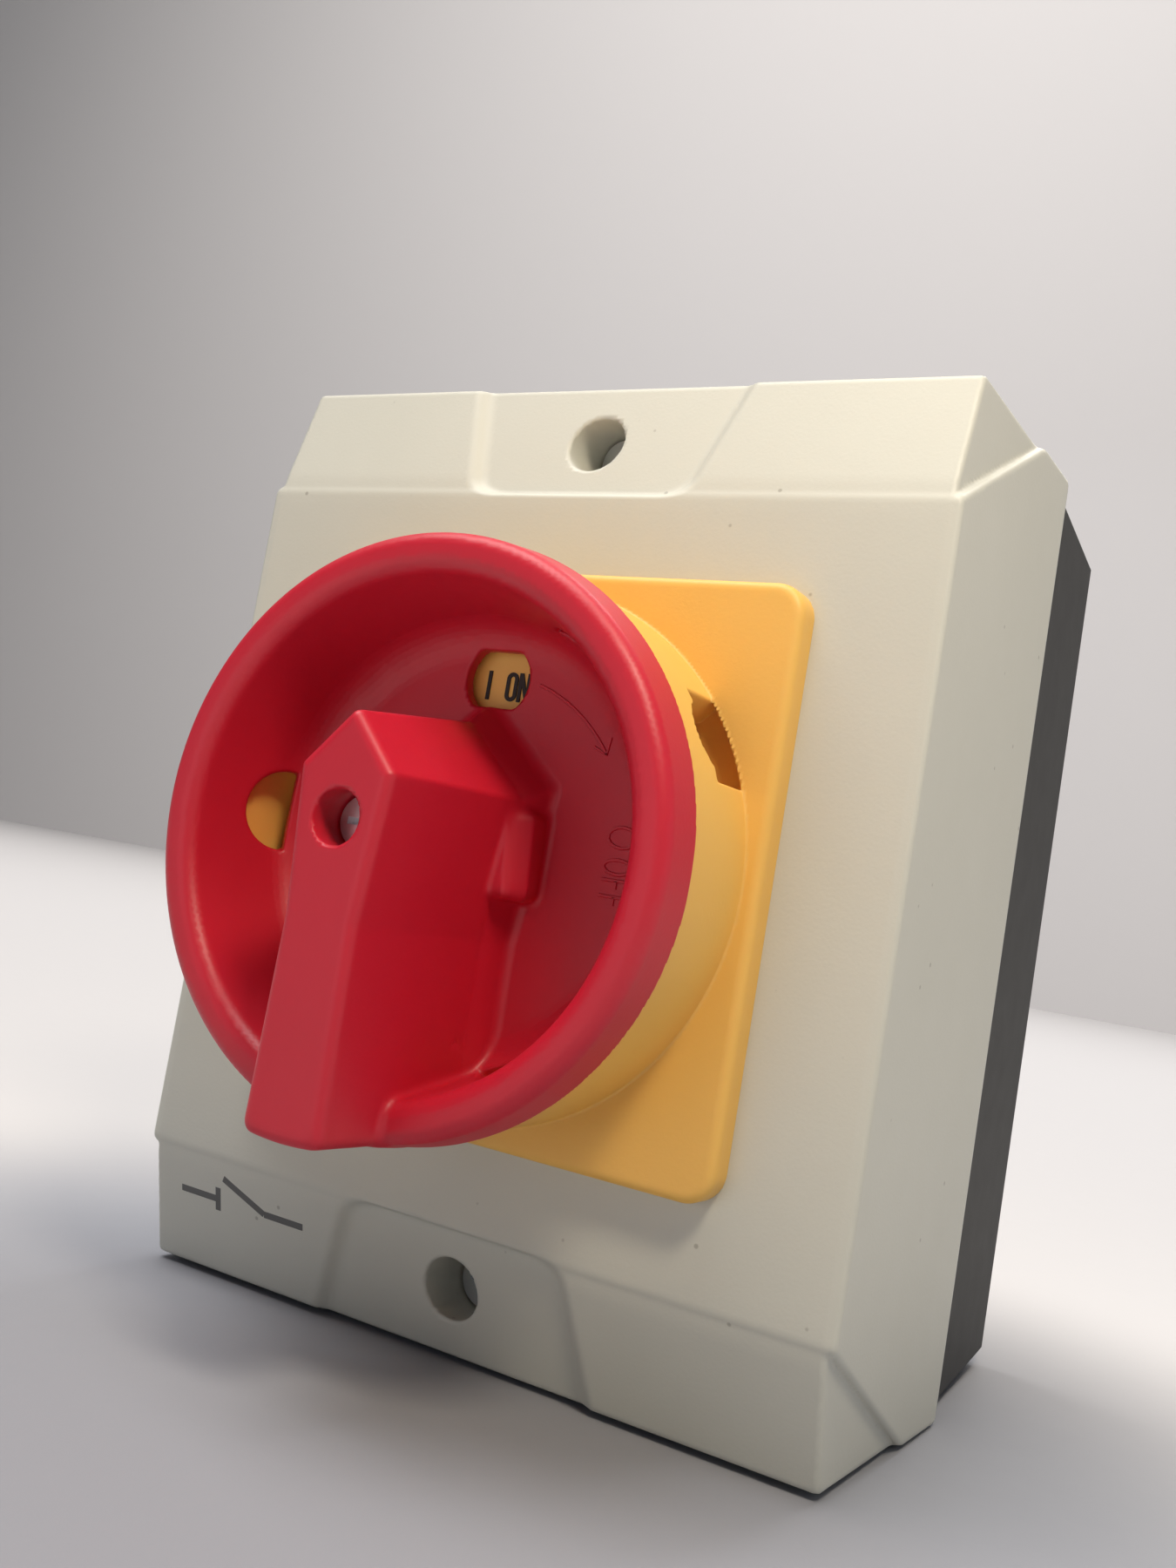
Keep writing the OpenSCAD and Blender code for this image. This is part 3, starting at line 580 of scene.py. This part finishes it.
def add_piece(mesh: bpy.types.Mesh, slot: str, body: str, *nodes: str) -> bpy.types.Object:
    """Put a mesh in the scene as a piece of the object.

    Args:
        mesh: The piece's mesh.
        slot: Name of its finish and material slot.
        body: The CAD body it moves with.
        nodes: CAD nodes it stands for.

    Returns:
        The new object.
    """
    piece = bpy.data.objects.new(mesh.name, mesh)
    bpy.context.scene.collection.objects.link(piece)
    mesh.materials.append(MATERIALS[slot])
    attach(piece, body)
    if nodes:
        dress(nodes)
        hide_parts(*nodes)
    LOG.info("%s: %d faces, on %s", mesh.name, len(mesh.polygons), body)
    return piece


@dataclass
class Cover:
    """The grey front cover. Sizes are in millimetres, heights from the wall."""

    seam: float = 34.0
    front: float = 75.0
    wall: float = 2.5
    half_h: float = 58.4
    bevel_low: tuple = (57.9, 70.8)
    bevel_high: tuple = (43.2, 75.0)
    ledge_low: tuple = (58.31, 47.0)
    half_w: float = 47.0
    side_ledge: float = 0.9
    draft: float = 0.6
    flare: float = math.radians(16.1)
    well_y: float = 50.1
    well_r: float = 3.6
    well_floor: float = 60.9
    soft: float = 0.7
    boss_r: float = 5.4
    shank_step: float = 3.2
    lip_half: tuple = (44.5, 56.9)
    lip_depth: float = 2.3
    hub_hole_r: float = 13.0
    screw_place: float = 25.0
    screw_r: float = 1.7
    panel_in: float = 42.8
    panel_half: float = 15.0
    panel_corner: float = 2.4
    panel_depth: float = 1.15
    flank_lean: float = 1.2
    inner_lean: float = 0.2

    def slope(self, y: np.ndarray, z: np.ndarray, low: tuple, high: tuple) -> np.ndarray:
        """Distance above the plane that runs from one edge line to another."""
        run, rise = low[0] - high[0], high[1] - low[1]
        return ((y - low[0]) * rise + (z - low[1]) * run) / math.hypot(run, rise)

    def panel(self, x: np.ndarray, y: np.ndarray, bevel: np.ndarray) -> np.ndarray:
        """Distance to the sunk panel's space round a screw well.

        Args:
            x: Distance across from the middle, with its sign.
            y: Distance up or down from the middle.
            bevel: Distance above the bevel.

        Returns:
            Distances, negative inside.
        """
        over, up = np.abs(x) - self.panel_half, y - self.panel_in
        flank = over * math.cos(self.flare) - up * math.sin(self.flare)
        flank = (flank - self.flank_lean * bevel) / 1.56
        inner = (self.panel_in - y - self.inner_lean * bevel) / 1.02
        sides = smooth_max(flank, inner, self.panel_corner)
        return smooth_max(sides, -self.panel_depth - bevel, 0.5)

    def field(self, p: np.ndarray) -> np.ndarray:
        """Distance to the whole cover.

        Args:
            p: Points, one to a row.

        Returns:
            Distances, negative inside.
        """
        x, y, z = np.abs(p[:, 0]), np.abs(p[:, 1]), p[:, 2]
        lean = (z - self.seam) / (self.front - self.seam) * self.draft
        bevel = self.slope(y, z, self.bevel_low, self.bevel_high)
        face = self.slope(y, z, (self.half_h, self.seam), self.bevel_low)
        side = x - self.half_w + self.side_ledge + lean
        end = smooth_max(smooth_max(face, bevel, self.soft), z - self.front, self.soft)
        end = smooth_max(end, side, self.soft)
        ramp = self.slope(y, z, self.ledge_low, self.bevel_high)
        middle = smooth_max(smooth_max(face, ramp, self.soft), z - self.front, self.soft)
        middle = smooth_max(middle, side - self.side_ledge, self.soft)
        shape = smooth_max(smooth_min(end, middle, 0.4), self.seam - z, 0.3)
        shape = smooth_max(shape, -self.panel(p[:, 0], y, bevel), 0.4)
        boss = np.hypot(x, y - self.well_y) - self.boss_r
        room = np.maximum(np.maximum(face, bevel), np.maximum(side, z - self.front)) + self.wall
        room = np.maximum(room, -boss)
        lip = np.maximum(x - self.lip_half[0], y - self.lip_half[1])
        lip = np.maximum(lip, z - self.seam - self.lip_depth)
        lip = np.maximum(lip, -np.maximum(boss, self.seam + 0.3 - z))
        shape = np.maximum(shape, -np.minimum(room, lip))
        well = smooth_max(boss + self.boss_r - self.well_r, self.well_floor - z, 0.3)
        holes = np.minimum(well, boss + self.shank_step)
        holes = np.minimum(holes, np.hypot(x, y) - self.hub_hole_r)
        screws = np.hypot(x - self.screw_place, y - self.screw_place) - self.screw_r
        holes = np.minimum(holes, screws)
        return smooth_max(shape, -holes, 0.4)

    def build(self) -> None:
        """Make the cover's mesh, which stands for the CAD node."""
        mesh = SkinMaker(0.5).mesh("cover_shell", self.field, (-48, -60, 33), (48, 60, 76))
        add_piece(mesh, "cover_grey", "housing", "front_cover")


@dataclass
class Plate:
    """The yellow plate and its collar. Sizes are in millimetres, heights from the wall."""

    back: float = 75.0
    face: float = 78.7
    half: float = 32.5
    corner: float = 3.5
    collar_r: float = 30.6
    collar_in: float = 27.8
    collar_top: float = 94.9
    label_r: float = 23.0
    label_z: float = 81.8
    slot_top: float = 84.8
    slot_floor: float = 1.2
    hole_line: float = 113.8
    slots: tuple = (29.0, 149.0, 269.0)
    slot_half: float = math.radians(9.6)
    slot_in: float = 24.0
    hole_r: float = 4.6
    hole_flat: float = 2.6
    hub_r: float = 9.0
    seal_r: float = 16.0
    seal_half: float = 1.1
    seal_depth: float = 1.05
    screw_place: float = 25.0
    screw_r: float = 1.55
    screw_cap: float = 0.9

    def field(self, p: np.ndarray) -> np.ndarray:
        """Distance to the plate, collar and label disc.

        Args:
            p: Points, one to a row.

        Returns:
            Distances, negative inside.
        """
        x, y, z = p.T
        r = np.hypot(x, y)
        over = np.maximum(np.abs(p[:, :2]) - self.half + self.corner, 0)
        inner = np.minimum(np.abs(p[:, :2]).max(1) - self.half + self.corner, 0)
        edge = np.hypot(over[:, 0], over[:, 1]) + inner - self.corner
        plate = smooth_max(edge, z - self.face, 1.2)
        collar = smooth_max(r - self.collar_r, self.collar_in - r, 0.4)
        collar = np.maximum(smooth_max(collar, z - self.collar_top, 0.5), self.back + 1 - z)
        shape = smooth_min(plate, collar, 0.3)
        label = smooth_max(r - self.label_r, z - self.label_z, 0.4)
        shape = np.minimum(shape, np.maximum(label, self.back + 1 - z))
        for turn in self.slots:
            a = math.radians(turn)
            along = x * math.cos(a) + y * math.sin(a)
            across = -x * math.sin(a) + y * math.cos(a)
            wedge = np.abs(across) * math.cos(self.slot_half) - along * math.sin(self.slot_half)
            rise = (along + z - self.hole_line) * math.sqrt(0.5)
            round_part = np.hypot(across, rise + 2) - self.hole_r
            hole = smooth_max(round_part, -self.hole_flat - rise, 0.3)
            front = np.minimum(np.maximum(wedge, z - self.slot_top), np.maximum(hole, wedge - 0.8))
            gap = np.maximum(front, np.maximum(self.slot_in - r, r - self.collar_r - 0.7))
            pocket = np.maximum(r - self.collar_r + 0.2, self.back + self.slot_floor - z)
            gap = np.maximum(gap, np.minimum(self.face + 0.5 - z, pocket))
            shape = smooth_max(shape, -gap, 0.4)
        seal = np.maximum(np.abs(r - self.seal_r) - self.seal_half, z - self.back - self.seal_depth)
        holes = np.minimum(r - self.hub_r, seal)
        screws = np.hypot(np.abs(x) - self.screw_place, np.abs(y) - self.screw_place)
        screws = np.maximum(screws - self.screw_r, z - self.face + self.screw_cap)
        shape = np.maximum(shape, -np.minimum(holes, screws))
        return np.maximum(shape, self.back - z)

    def build(self) -> None:
        """Make the plate's mesh, which stands for the CAD node."""
        mesh = SkinMaker(0.35).mesh("plate_and_collar", self.field, (-34, -34, 74), (34, 34, 96))
        add_piece(mesh, "plate_yellow", "housing", "handle_plate")


@dataclass
class Handle:
    """The red knob. Sizes are in millimetres, heights from the wall."""

    floor: float = 84.0
    back: float = 82.4
    dish_r: float = 25.3
    dish_top_r: float = 27.0
    fillet: float = 4.6
    skirt_r: float = 31.8
    skirt_z: float = 93.3
    groove_in: float = 27.3
    groove_out: float = 30.95
    groove_z: float = 95.4
    rim_z: float = 98.9
    bar_z: float = 107.6
    plinth_z: float = 87.8
    seat_z: float = 101.4
    channels: tuple = ((-61.0, 2.6), (59.0, 0.4), (179.0, 2.6))
    channel_r: float = 4.6
    channel_rise: float = 3.9
    channel_half: float = 5.2
    bar_base: tuple = (16, 9.9, 7.2, 7.4, 7.8)
    bar_foot: tuple = (13.3, 8.3, 5.4, 6.2, 6.8)
    bar_front: tuple = (11, 5.6, 4.9, 4.3, 4.9)
    bar_waist_y: float = -10
    bar_end_y: float = -40
    bar_edge: float = 0.8
    hub_r: float = 8.95
    hub_low: float = 71.0
    lug_foot: float = 83
    lug_side: tuple = (4, 7.4, 9.2, 9.4)
    lug_lean: float = 0.12
    lug_half: float = 4.9
    window_y: float = 18.6
    window_r: float = 4.1
    window_half: float = 3.2
    well_r: float = 2.8
    shank_r: float = 2.1
    shank_low: float = 97.9
    coupler_r: float = 5.6
    coupler_top: float = 82.1
    square_half: float = 3.55
    square_z: tuple = (80, 98.1)
    arrow_r: float = 19.2
    arrow_ends: tuple = (73, 37)
    letter_half: float = 1.65
    letters_at: tuple = (18.8, 0.8)

    def profile(self) -> list:
        """List the knob's turned outline.

        Returns:
            Its corners as radius and height.
        """
        inner, outer = self.groove_in, self.groove_out
        return (
            [(0, self.floor)]
            + arc((self.dish_r - self.fillet, self.floor + self.fillet), self.fillet, -90, -8, 9)
            + arc((self.dish_top_r + 1.9, self.rim_z - 2.0), 2.0, 172, 90, 7)
            + arc((self.skirt_r - 2.1, self.rim_z - 1.7), 1.7, 90, 8, 8)
            + arc((self.skirt_r - 0.4, self.skirt_z + 0.4), 0.4, 0, -90, 4)
            + [(outer, self.skirt_z), (outer, self.groove_z), (inner, self.groove_z)]
            + arc((24.3, self.back + 3), 3.0, 0, -90, 6)
            + [(0, self.back)]
        )

    def bar(self, x: np.ndarray, y: np.ndarray, z: np.ndarray) -> np.ndarray:
        """Distance to the grip bar.

        Args:
            x: Places across.
            y: Places up.
            z: Heights from the wall.

        Returns:
            Distances, negative inside.
        """
        edge, waist, end = self.bar_edge, self.bar_waist_y, self.bar_end_y
        outlines = []
        for tip, s, sy, w, e in (self.bar_base, self.bar_foot, self.bar_front):
            lower = [(-w, waist), (-e, end), (e, end), (w, waist)]
            upper = [(s, sy), (0, tip), (-s, sy)]
            outlines.append(inset((lower + upper)[::-1], edge))
        low = np.clip((z - self.floor) / (self.plinth_z - self.floor), 0, 1)
        high = np.clip((z - self.plinth_z) / (self.bar_z - self.plinth_z), 0, 1)
        corners = [
            tuple(b[i] + (f[i] - b[i]) * low + (t[i] - f[i]) * high for i in (0, 1))
            for b, f, t in zip(*outlines)
        ]
        side = polygon_distance(x, y, corners) - edge
        side = smooth_max(side, np.hypot(x, y) - self.skirt_r + 0.3, 1.2)
        return smooth_max(smooth_max(side, z - self.bar_z, 1.2), self.back + 0.5 - z, 0.5)

    def field(self, p: np.ndarray) -> np.ndarray:
        """Distance to the whole knob.

        Args:
            p: Points, one to a row.

        Returns:
            Distances, negative inside.
        """
        x, y, z = p.T
        r = np.hypot(x, y)
        hub = np.maximum(self.hub_low - z, z - self.floor + 0.5)
        hub = np.maximum(r - self.hub_r, hub)
        body = np.minimum(polygon_distance(r, z, self.profile()), hub)
        bar = np.maximum(self.bar(x, y, z), np.minimum(r - self.groove_in, self.groove_z - z))
        groove = np.maximum(np.maximum(self.groove_in - r, r - self.groove_out), z - self.groove_z)
        body = np.maximum(smooth_min(body, bar, 1.0), -groove)
        body = smooth_min(body, self.lugs(x, y, z), 0.7)
        window = np.hypot(x, y - self.window_y) - self.window_r
        window = smooth_max(window, np.abs(y - self.window_y) - self.window_half, 0.3)
        body = smooth_max(body, -np.maximum(window, z - self.floor - 4), 0.3)
        for turn, flat in self.channels:
            body = smooth_max(body, -self.channel(x, y, z, turn, flat), 0.4)
        well = smooth_max(r - self.well_r, self.seat_z - z, 0.2)
        body = smooth_max(body, -well, 0.25)
        inside = np.maximum(r - self.shank_r, self.shank_low - z)
        inside = np.minimum(inside, np.maximum(r - self.coupler_r, z - self.coupler_top))
        square = np.maximum(np.abs(x), np.abs(y)) - self.square_half
        square = np.maximum(square, np.maximum(z - self.square_z[1], self.square_z[0] - z))
        return np.maximum(body, -np.minimum(inside, square))

    def lugs(self, x: np.ndarray, y: np.ndarray, z: np.ndarray) -> np.ndarray:
        """Distance to the leaning lugs on the bar's flanks.

        Args:
            x: Places across.
            y: Places up.
            z: Heights from the wall.

        Returns:
            Distances, negative inside.
        """
        top, foot = self.plinth_z + 1.0, self.lug_foot
        inner, crest, shoulder, outer = self.lug_side
        height = np.clip((z - self.floor) / (top - self.floor), 0, 1)
        lean = np.clip(4.5 - y, 0, 10) * self.lug_lean * height
        side = [(inner, foot), (inner, top), (crest, top), (shoulder, self.plinth_z - 0.8)]
        lug = polygon_distance(np.abs(x) - lean, z, side + [(outer, foot)]) - 0.6
        return smooth_max(lug, np.abs(y + 0.4) - self.lug_half, 1.6)

    def channel(
        self, x: np.ndarray, y: np.ndarray, z: np.ndarray, turn: float, flat: float
    ) -> np.ndarray:
        """Distance to one padlock channel, which slants through the dish's wall.

        Args:
            x: Places across.
            y: Places up.
            z: Heights from the wall.
            turn: Its direction from the axis, in degrees.
            flat: How far its flat side is from its line.

        Returns:
            Distances, negative inside.
        """
        a, s = math.radians(turn), math.sqrt(0.5)
        u = x * math.cos(a) + y * math.sin(a) - self.dish_r - 0.6
        v, w = -x * math.sin(a) + y * math.cos(a), z - self.floor - self.channel_rise
        deep, rise = (u - w) * s, (u + w) * s
        bore = smooth_max(np.hypot(v, rise + 2) - self.channel_r, -flat - rise, 0.3)
        return np.maximum(bore, np.abs(deep - 0.8) - self.channel_half)

    def marks(self) -> list:
        """List the paths of the raised arrow and letters on the dish floor.

        Returns:
            Each path's points, in millimetres.
        """
        half, (right, down) = self.letter_half, self.letters_at
        sweep = arc((0, 0), self.arrow_r, *self.arrow_ends, 14)
        tip = sweep[-1]
        paths = [sweep, [(tip[0] - 1.7, tip[1] + 0.7), tip, (tip[0] + 0.2, tip[1] + 1.9)]]
        turns = np.linspace(0, 2 * math.pi, 15)
        ring = [(2.2 * 0.5 * math.cos(t), half * math.sin(t)) for t in turns]
        letters = [[(x - 2.3, y) for x, y in ring], [(x * 0.7 + 0.8, y) for x, y in ring]]
        for x in (2.2, 3.9):
            letters += [[(x, -half), (x, half), (x + 1.1, half)], [(x, 0.1), (x + 0.9, 0.1)]]
        paths += [[(right + y, down - x) for x, y in path] for path in letters]
        return paths

    def build(self) -> None:
        """Make the knob's mesh, which stands for the CAD node, with its raised marks."""
        mesh = SkinMaker(0.4).mesh("knob", self.field, (-33, -33, 70), (33, 33, 109))
        knob = add_piece(mesh, "handle_red", "handle", "handle_knob")
        marks = strokes("knob_marks", self.marks(), 0.42, 0.16, lambda x, y: (x, y, self.floor))
        raised = bpy.data.objects.new("knob_marks", marks)
        marks.materials.append(MATERIALS["handle_red"])
        bpy.context.scene.collection.objects.link(raised)
        raised.parent = knob.parent
        both = [knob, raised]
        with bpy.context.temp_override(
            active_object=knob, object=knob, selected_editable_objects=both
        ):
            bpy.ops.object.join()


def strokes(name: str, paths: list, width: float, height: float, place: Callable) -> bpy.types.Mesh:
    """Make low raised lines along paths on a surface.

    Args:
        name: Name of the mesh.
        paths: Each path's points in the surface, in millimetres.
        width: Width of the lines at the surface.
        height: Height of the lines.
        place: Turns a point in the surface into x, y and height from the wall.

    Returns:
        The mesh, in the row frame.
    """
    sunk, shoulder = 0.04, 0.55
    section = ((-1, -sunk), (-shoulder, height), (shoulder, height), (1, -sunk))
    spots, faces = [], []
    for path in paths:
        points = [Vector(q) for q in path]
        closed = (points[0] - points[-1]).length < 1e-6
        first = len(spots)
        for i, q in enumerate(points):
            before = points[i - 1] if i else (points[-2] if closed else q)
            after = points[i + 1] if i + 1 < len(points) else (points[1] if closed else q)
            way = (after - before).normalized()
            out = Vector((-way.y, way.x)) * width / 2
            for share, lift in section:
                x, y, z = place(*(q + out * share))
                spots.append((x * MM, -(z + lift) * MM, y * MM))
            if i:
                k = first + 4 * i
                faces += [(k - 4 + j, k - 3 + j, k + 1 + j, k + j) for j in range(3)]
        if not closed:
            last = first + 4 * (len(points) - 1)
            faces.append((first + 3, first + 2, first + 1, first))
            faces.append((last, last + 1, last + 2, last + 3))
    mesh = bpy.data.meshes.new(name)
    mesh.from_pydata(spots, [], faces)
    mesh.update()
    return mesh


@dataclass
class PrintedSymbol:
    """A generic isolator symbol printed on the cover's lower bevel, in millimetres."""

    left: float = -41.0
    right: float = -21.0
    drop: float = 5.4
    bevel_line: float = -43.2
    front: float = 75.0
    angle: float = math.atan(4.2 / 14.7)
    lead: float = 6.2
    bar_half: float = 1.5
    blade_tip: tuple = (0.9, 2.9)
    line: float = 1.25
    lift: float = 0.02

    def place(self, x: float, y: float) -> tuple:
        """Put a point of the print on the bevel.

        Args:
            x: Place across.
            y: Place up along the bevel.

        Returns:
            Its x, y and height from the wall.
        """
        down = self.drop - y
        low, back = down * math.cos(self.angle), down * math.sin(self.angle)
        return (x, self.bevel_line - low, self.front - back)

    def build(self) -> None:
        """Print two leads, a bar and an open blade."""
        bar, pivot = self.left + self.lead, self.right - self.lead
        paths = [
            [(self.left, 0), (bar, 0)],
            [(bar, -self.bar_half), (bar, self.bar_half)],
            [(pivot, 0), (self.right, 0)],
            [(pivot, 0), (bar + self.blade_tip[0], self.blade_tip[1])],
        ]
        mesh = strokes("printed_symbol", paths, self.line, self.lift, self.place)
        add_piece(mesh, "legend_ink", "housing")
        mesh.materials.clear()
        grey, dark = linear(104, 104, 102), linear(96, 96, 94)
        mesh.materials.append(Finish("print_grey", grey, dark, 0.6, Grain.FINE).build())


# ---- Stage ----


@dataclass(frozen=True)
class Lamp:
    """A square soft light: places in metres, power in watts."""

    name: str
    place: tuple
    aim: tuple
    size: float
    power: float
    tint: tuple

    def hang(self) -> None:
        """Put the light in the scene."""
        data = bpy.data.lights.new(self.name, "AREA")
        data.shape, data.size = "SQUARE", self.size
        data.energy, data.color = self.power, self.tint
        made = bpy.data.objects.new(self.name, data)
        made.location = self.place
        made.rotation_mode = "QUATERNION"
        ray = Vector(self.aim) - Vector(self.place)
        made.rotation_quaternion = ray.to_track_quat("-Z", "Y")
        bpy.context.scene.collection.objects.link(made)


LAMPS = (
    Lamp("key_light", (0.125, -0.195, 0.190), (0, -0.07, 0.01), 0.055, 0.39, (1.0, 0.88, 0.70)),
    Lamp("side_light", (1.1, 0.1, 0.2), (0, -0.04, 0), 0.9, 1.2, (0.92, 0.96, 1.0)),
    Lamp("fill_light", (-0.15, -0.75, -0.04), (0, -0.07, -0.02), 0.5, 0.75, (0.97, 0.97, 1.0)),
    Lamp("room_light", (0.1, 1.2, 1.7), (0, -0.1, -0.05), 0.8, 12.0, (0.98, 0.99, 1.0)),
    Lamp("wall_light", (-0.8, -0.3, 3.0), (0.1, 2.3, 0.6), 2.2, 110.0, (1.0, 0.97, 0.94)),
)


@dataclass
class Studio:
    """A pale floor and wall with soft light and a painted shadow on the floor, in metres."""

    floor_z: float = -0.0586
    wall_y: float = 2.3
    tone: tuple = linear(214, 211, 210)
    # Painted shadow: the floor turns to this grey-blue round a point in front of the object and
    # fades out between the two distances.
    painted_shadow_tone: tuple = linear(150, 152, 160)
    painted_shadow_centre: tuple = (0.01, -0.09, -0.0586)
    painted_shadow_reach: tuple = (0.05, 0.16)
    far: float = 12.0
    sky: tuple = (0.78, 0.86, 1.0, 1)
    sky_strength: float = 0.12

    def sheet(self, name: str, corners: list, material: bpy.types.Material) -> bpy.types.Object:
        """Make one flat sheet of the stage.

        Args:
            name: Name of the sheet.
            corners: Its four corners.
            material: Its finish.

        Returns:
            The sheet.
        """
        mesh = bpy.data.meshes.new(name)
        mesh.from_pydata(corners, [], [(0, 1, 2, 3)])
        mesh.materials.append(material)
        made = bpy.data.objects.new(name, mesh)
        bpy.context.scene.collection.objects.link(made)
        return made

    def paper(self) -> bpy.types.Material:
        """Make the stage's finish, with a painted shadow that darkens the floor in front of the
        object.

        Returns:
            The material.
        """
        made = Finish("stage_paper_painted_shadow", self.tone, self.tone, 0.7).build()
        tree = made.node_tree
        base = tree.nodes["Principled BSDF"].inputs["Base Color"]
        clean = base.links[0].from_socket
        # Painted shadow: the paper's colour is mixed towards the shadow tone by distance from the
        # point in front of the object.
        place = tree.nodes.new("ShaderNodeNewGeometry")
        away = tree.nodes.new("ShaderNodeVectorMath")
        away.operation = "DISTANCE"
        away.inputs[1].default_value = self.painted_shadow_centre
        tree.links.new(place.outputs["Position"], away.inputs[0])
        painted_shadow_share = ramp(tree, away.outputs["Value"], self.painted_shadow_reach, (1.0, 0.0))
        painted_shadow_share.interpolation_type = "SMOOTHERSTEP"
        painted_shadow_colour = blend(tree, painted_shadow_share.outputs["Result"], clean, self.painted_shadow_tone)
        tree.links.new(painted_shadow_colour, base)
        return made

    def build(self) -> None:
        """Lay the floor and wall and hang the lights."""
        paper = self.paper()
        far, low, wall = self.far, self.floor_z, self.wall_y
        floor = [(-far, -far, low), (far, -far, low), (far, far, low), (-far, far, low)]
        back = [(-far, wall, low), (far, wall, low), (far, wall, far), (-far, wall, far)]
        self.sheet("stage_floor", floor, paper)
        self.sheet("stage_wall", back, paper)
        for lamp in LAMPS:
            lamp.hang()
        world = bpy.data.worlds.new("soft_room")
        world.use_nodes = True
        light = world.node_tree.nodes["Background"].inputs
        light["Color"].default_value = self.sky
        light["Strength"].default_value = self.sky_strength
        bpy.context.scene.world = world
        bpy.context.scene.view_settings.view_transform = "Standard"


@dataclass
class Viewer:
    """The camera, in metres."""

    place: tuple = (0.09088, -0.21997, -0.00364)
    right: tuple = (0.85591, 0.48898, 0.16827)
    up: tuple = (-0.10101, -0.16104, 0.98177)
    lens: float = 33.98
    shift: tuple = (0.01437, -0.01457)
    sensor: float = 36.0
    nearest: float = 0.01

    def build(self) -> None:
        """Create the camera and make it the scene's own."""
        data = bpy.data.cameras.new("camera")
        data.sensor_width, data.lens = self.sensor, self.lens
        data.shift_x, data.shift_y = self.shift
        data.clip_start = self.nearest
        made = bpy.data.objects.new("camera", data)
        x, y = Vector(self.right).normalized(), Vector(self.up).normalized()
        turn = Matrix((x, y, x.cross(y))).transposed()
        made.matrix_world = Matrix.Translation(self.place) @ turn.to_4x4()
        bpy.context.scene.collection.objects.link(made)
        bpy.context.scene.camera = made


def main() -> None:
    """Build the pieces in order."""
    logging.basicConfig(level=logging.INFO, format="%(message)s")
    Enclosure().build()
    SwitchBody().build()
    Rotor().build()
    HandleFittings().build()
    Cover().build()
    Plate().build()
    Handle().build()
    PrintedSymbol().build()
    Studio().build()
    Viewer().build()


if __name__ == "__main__":
    main()
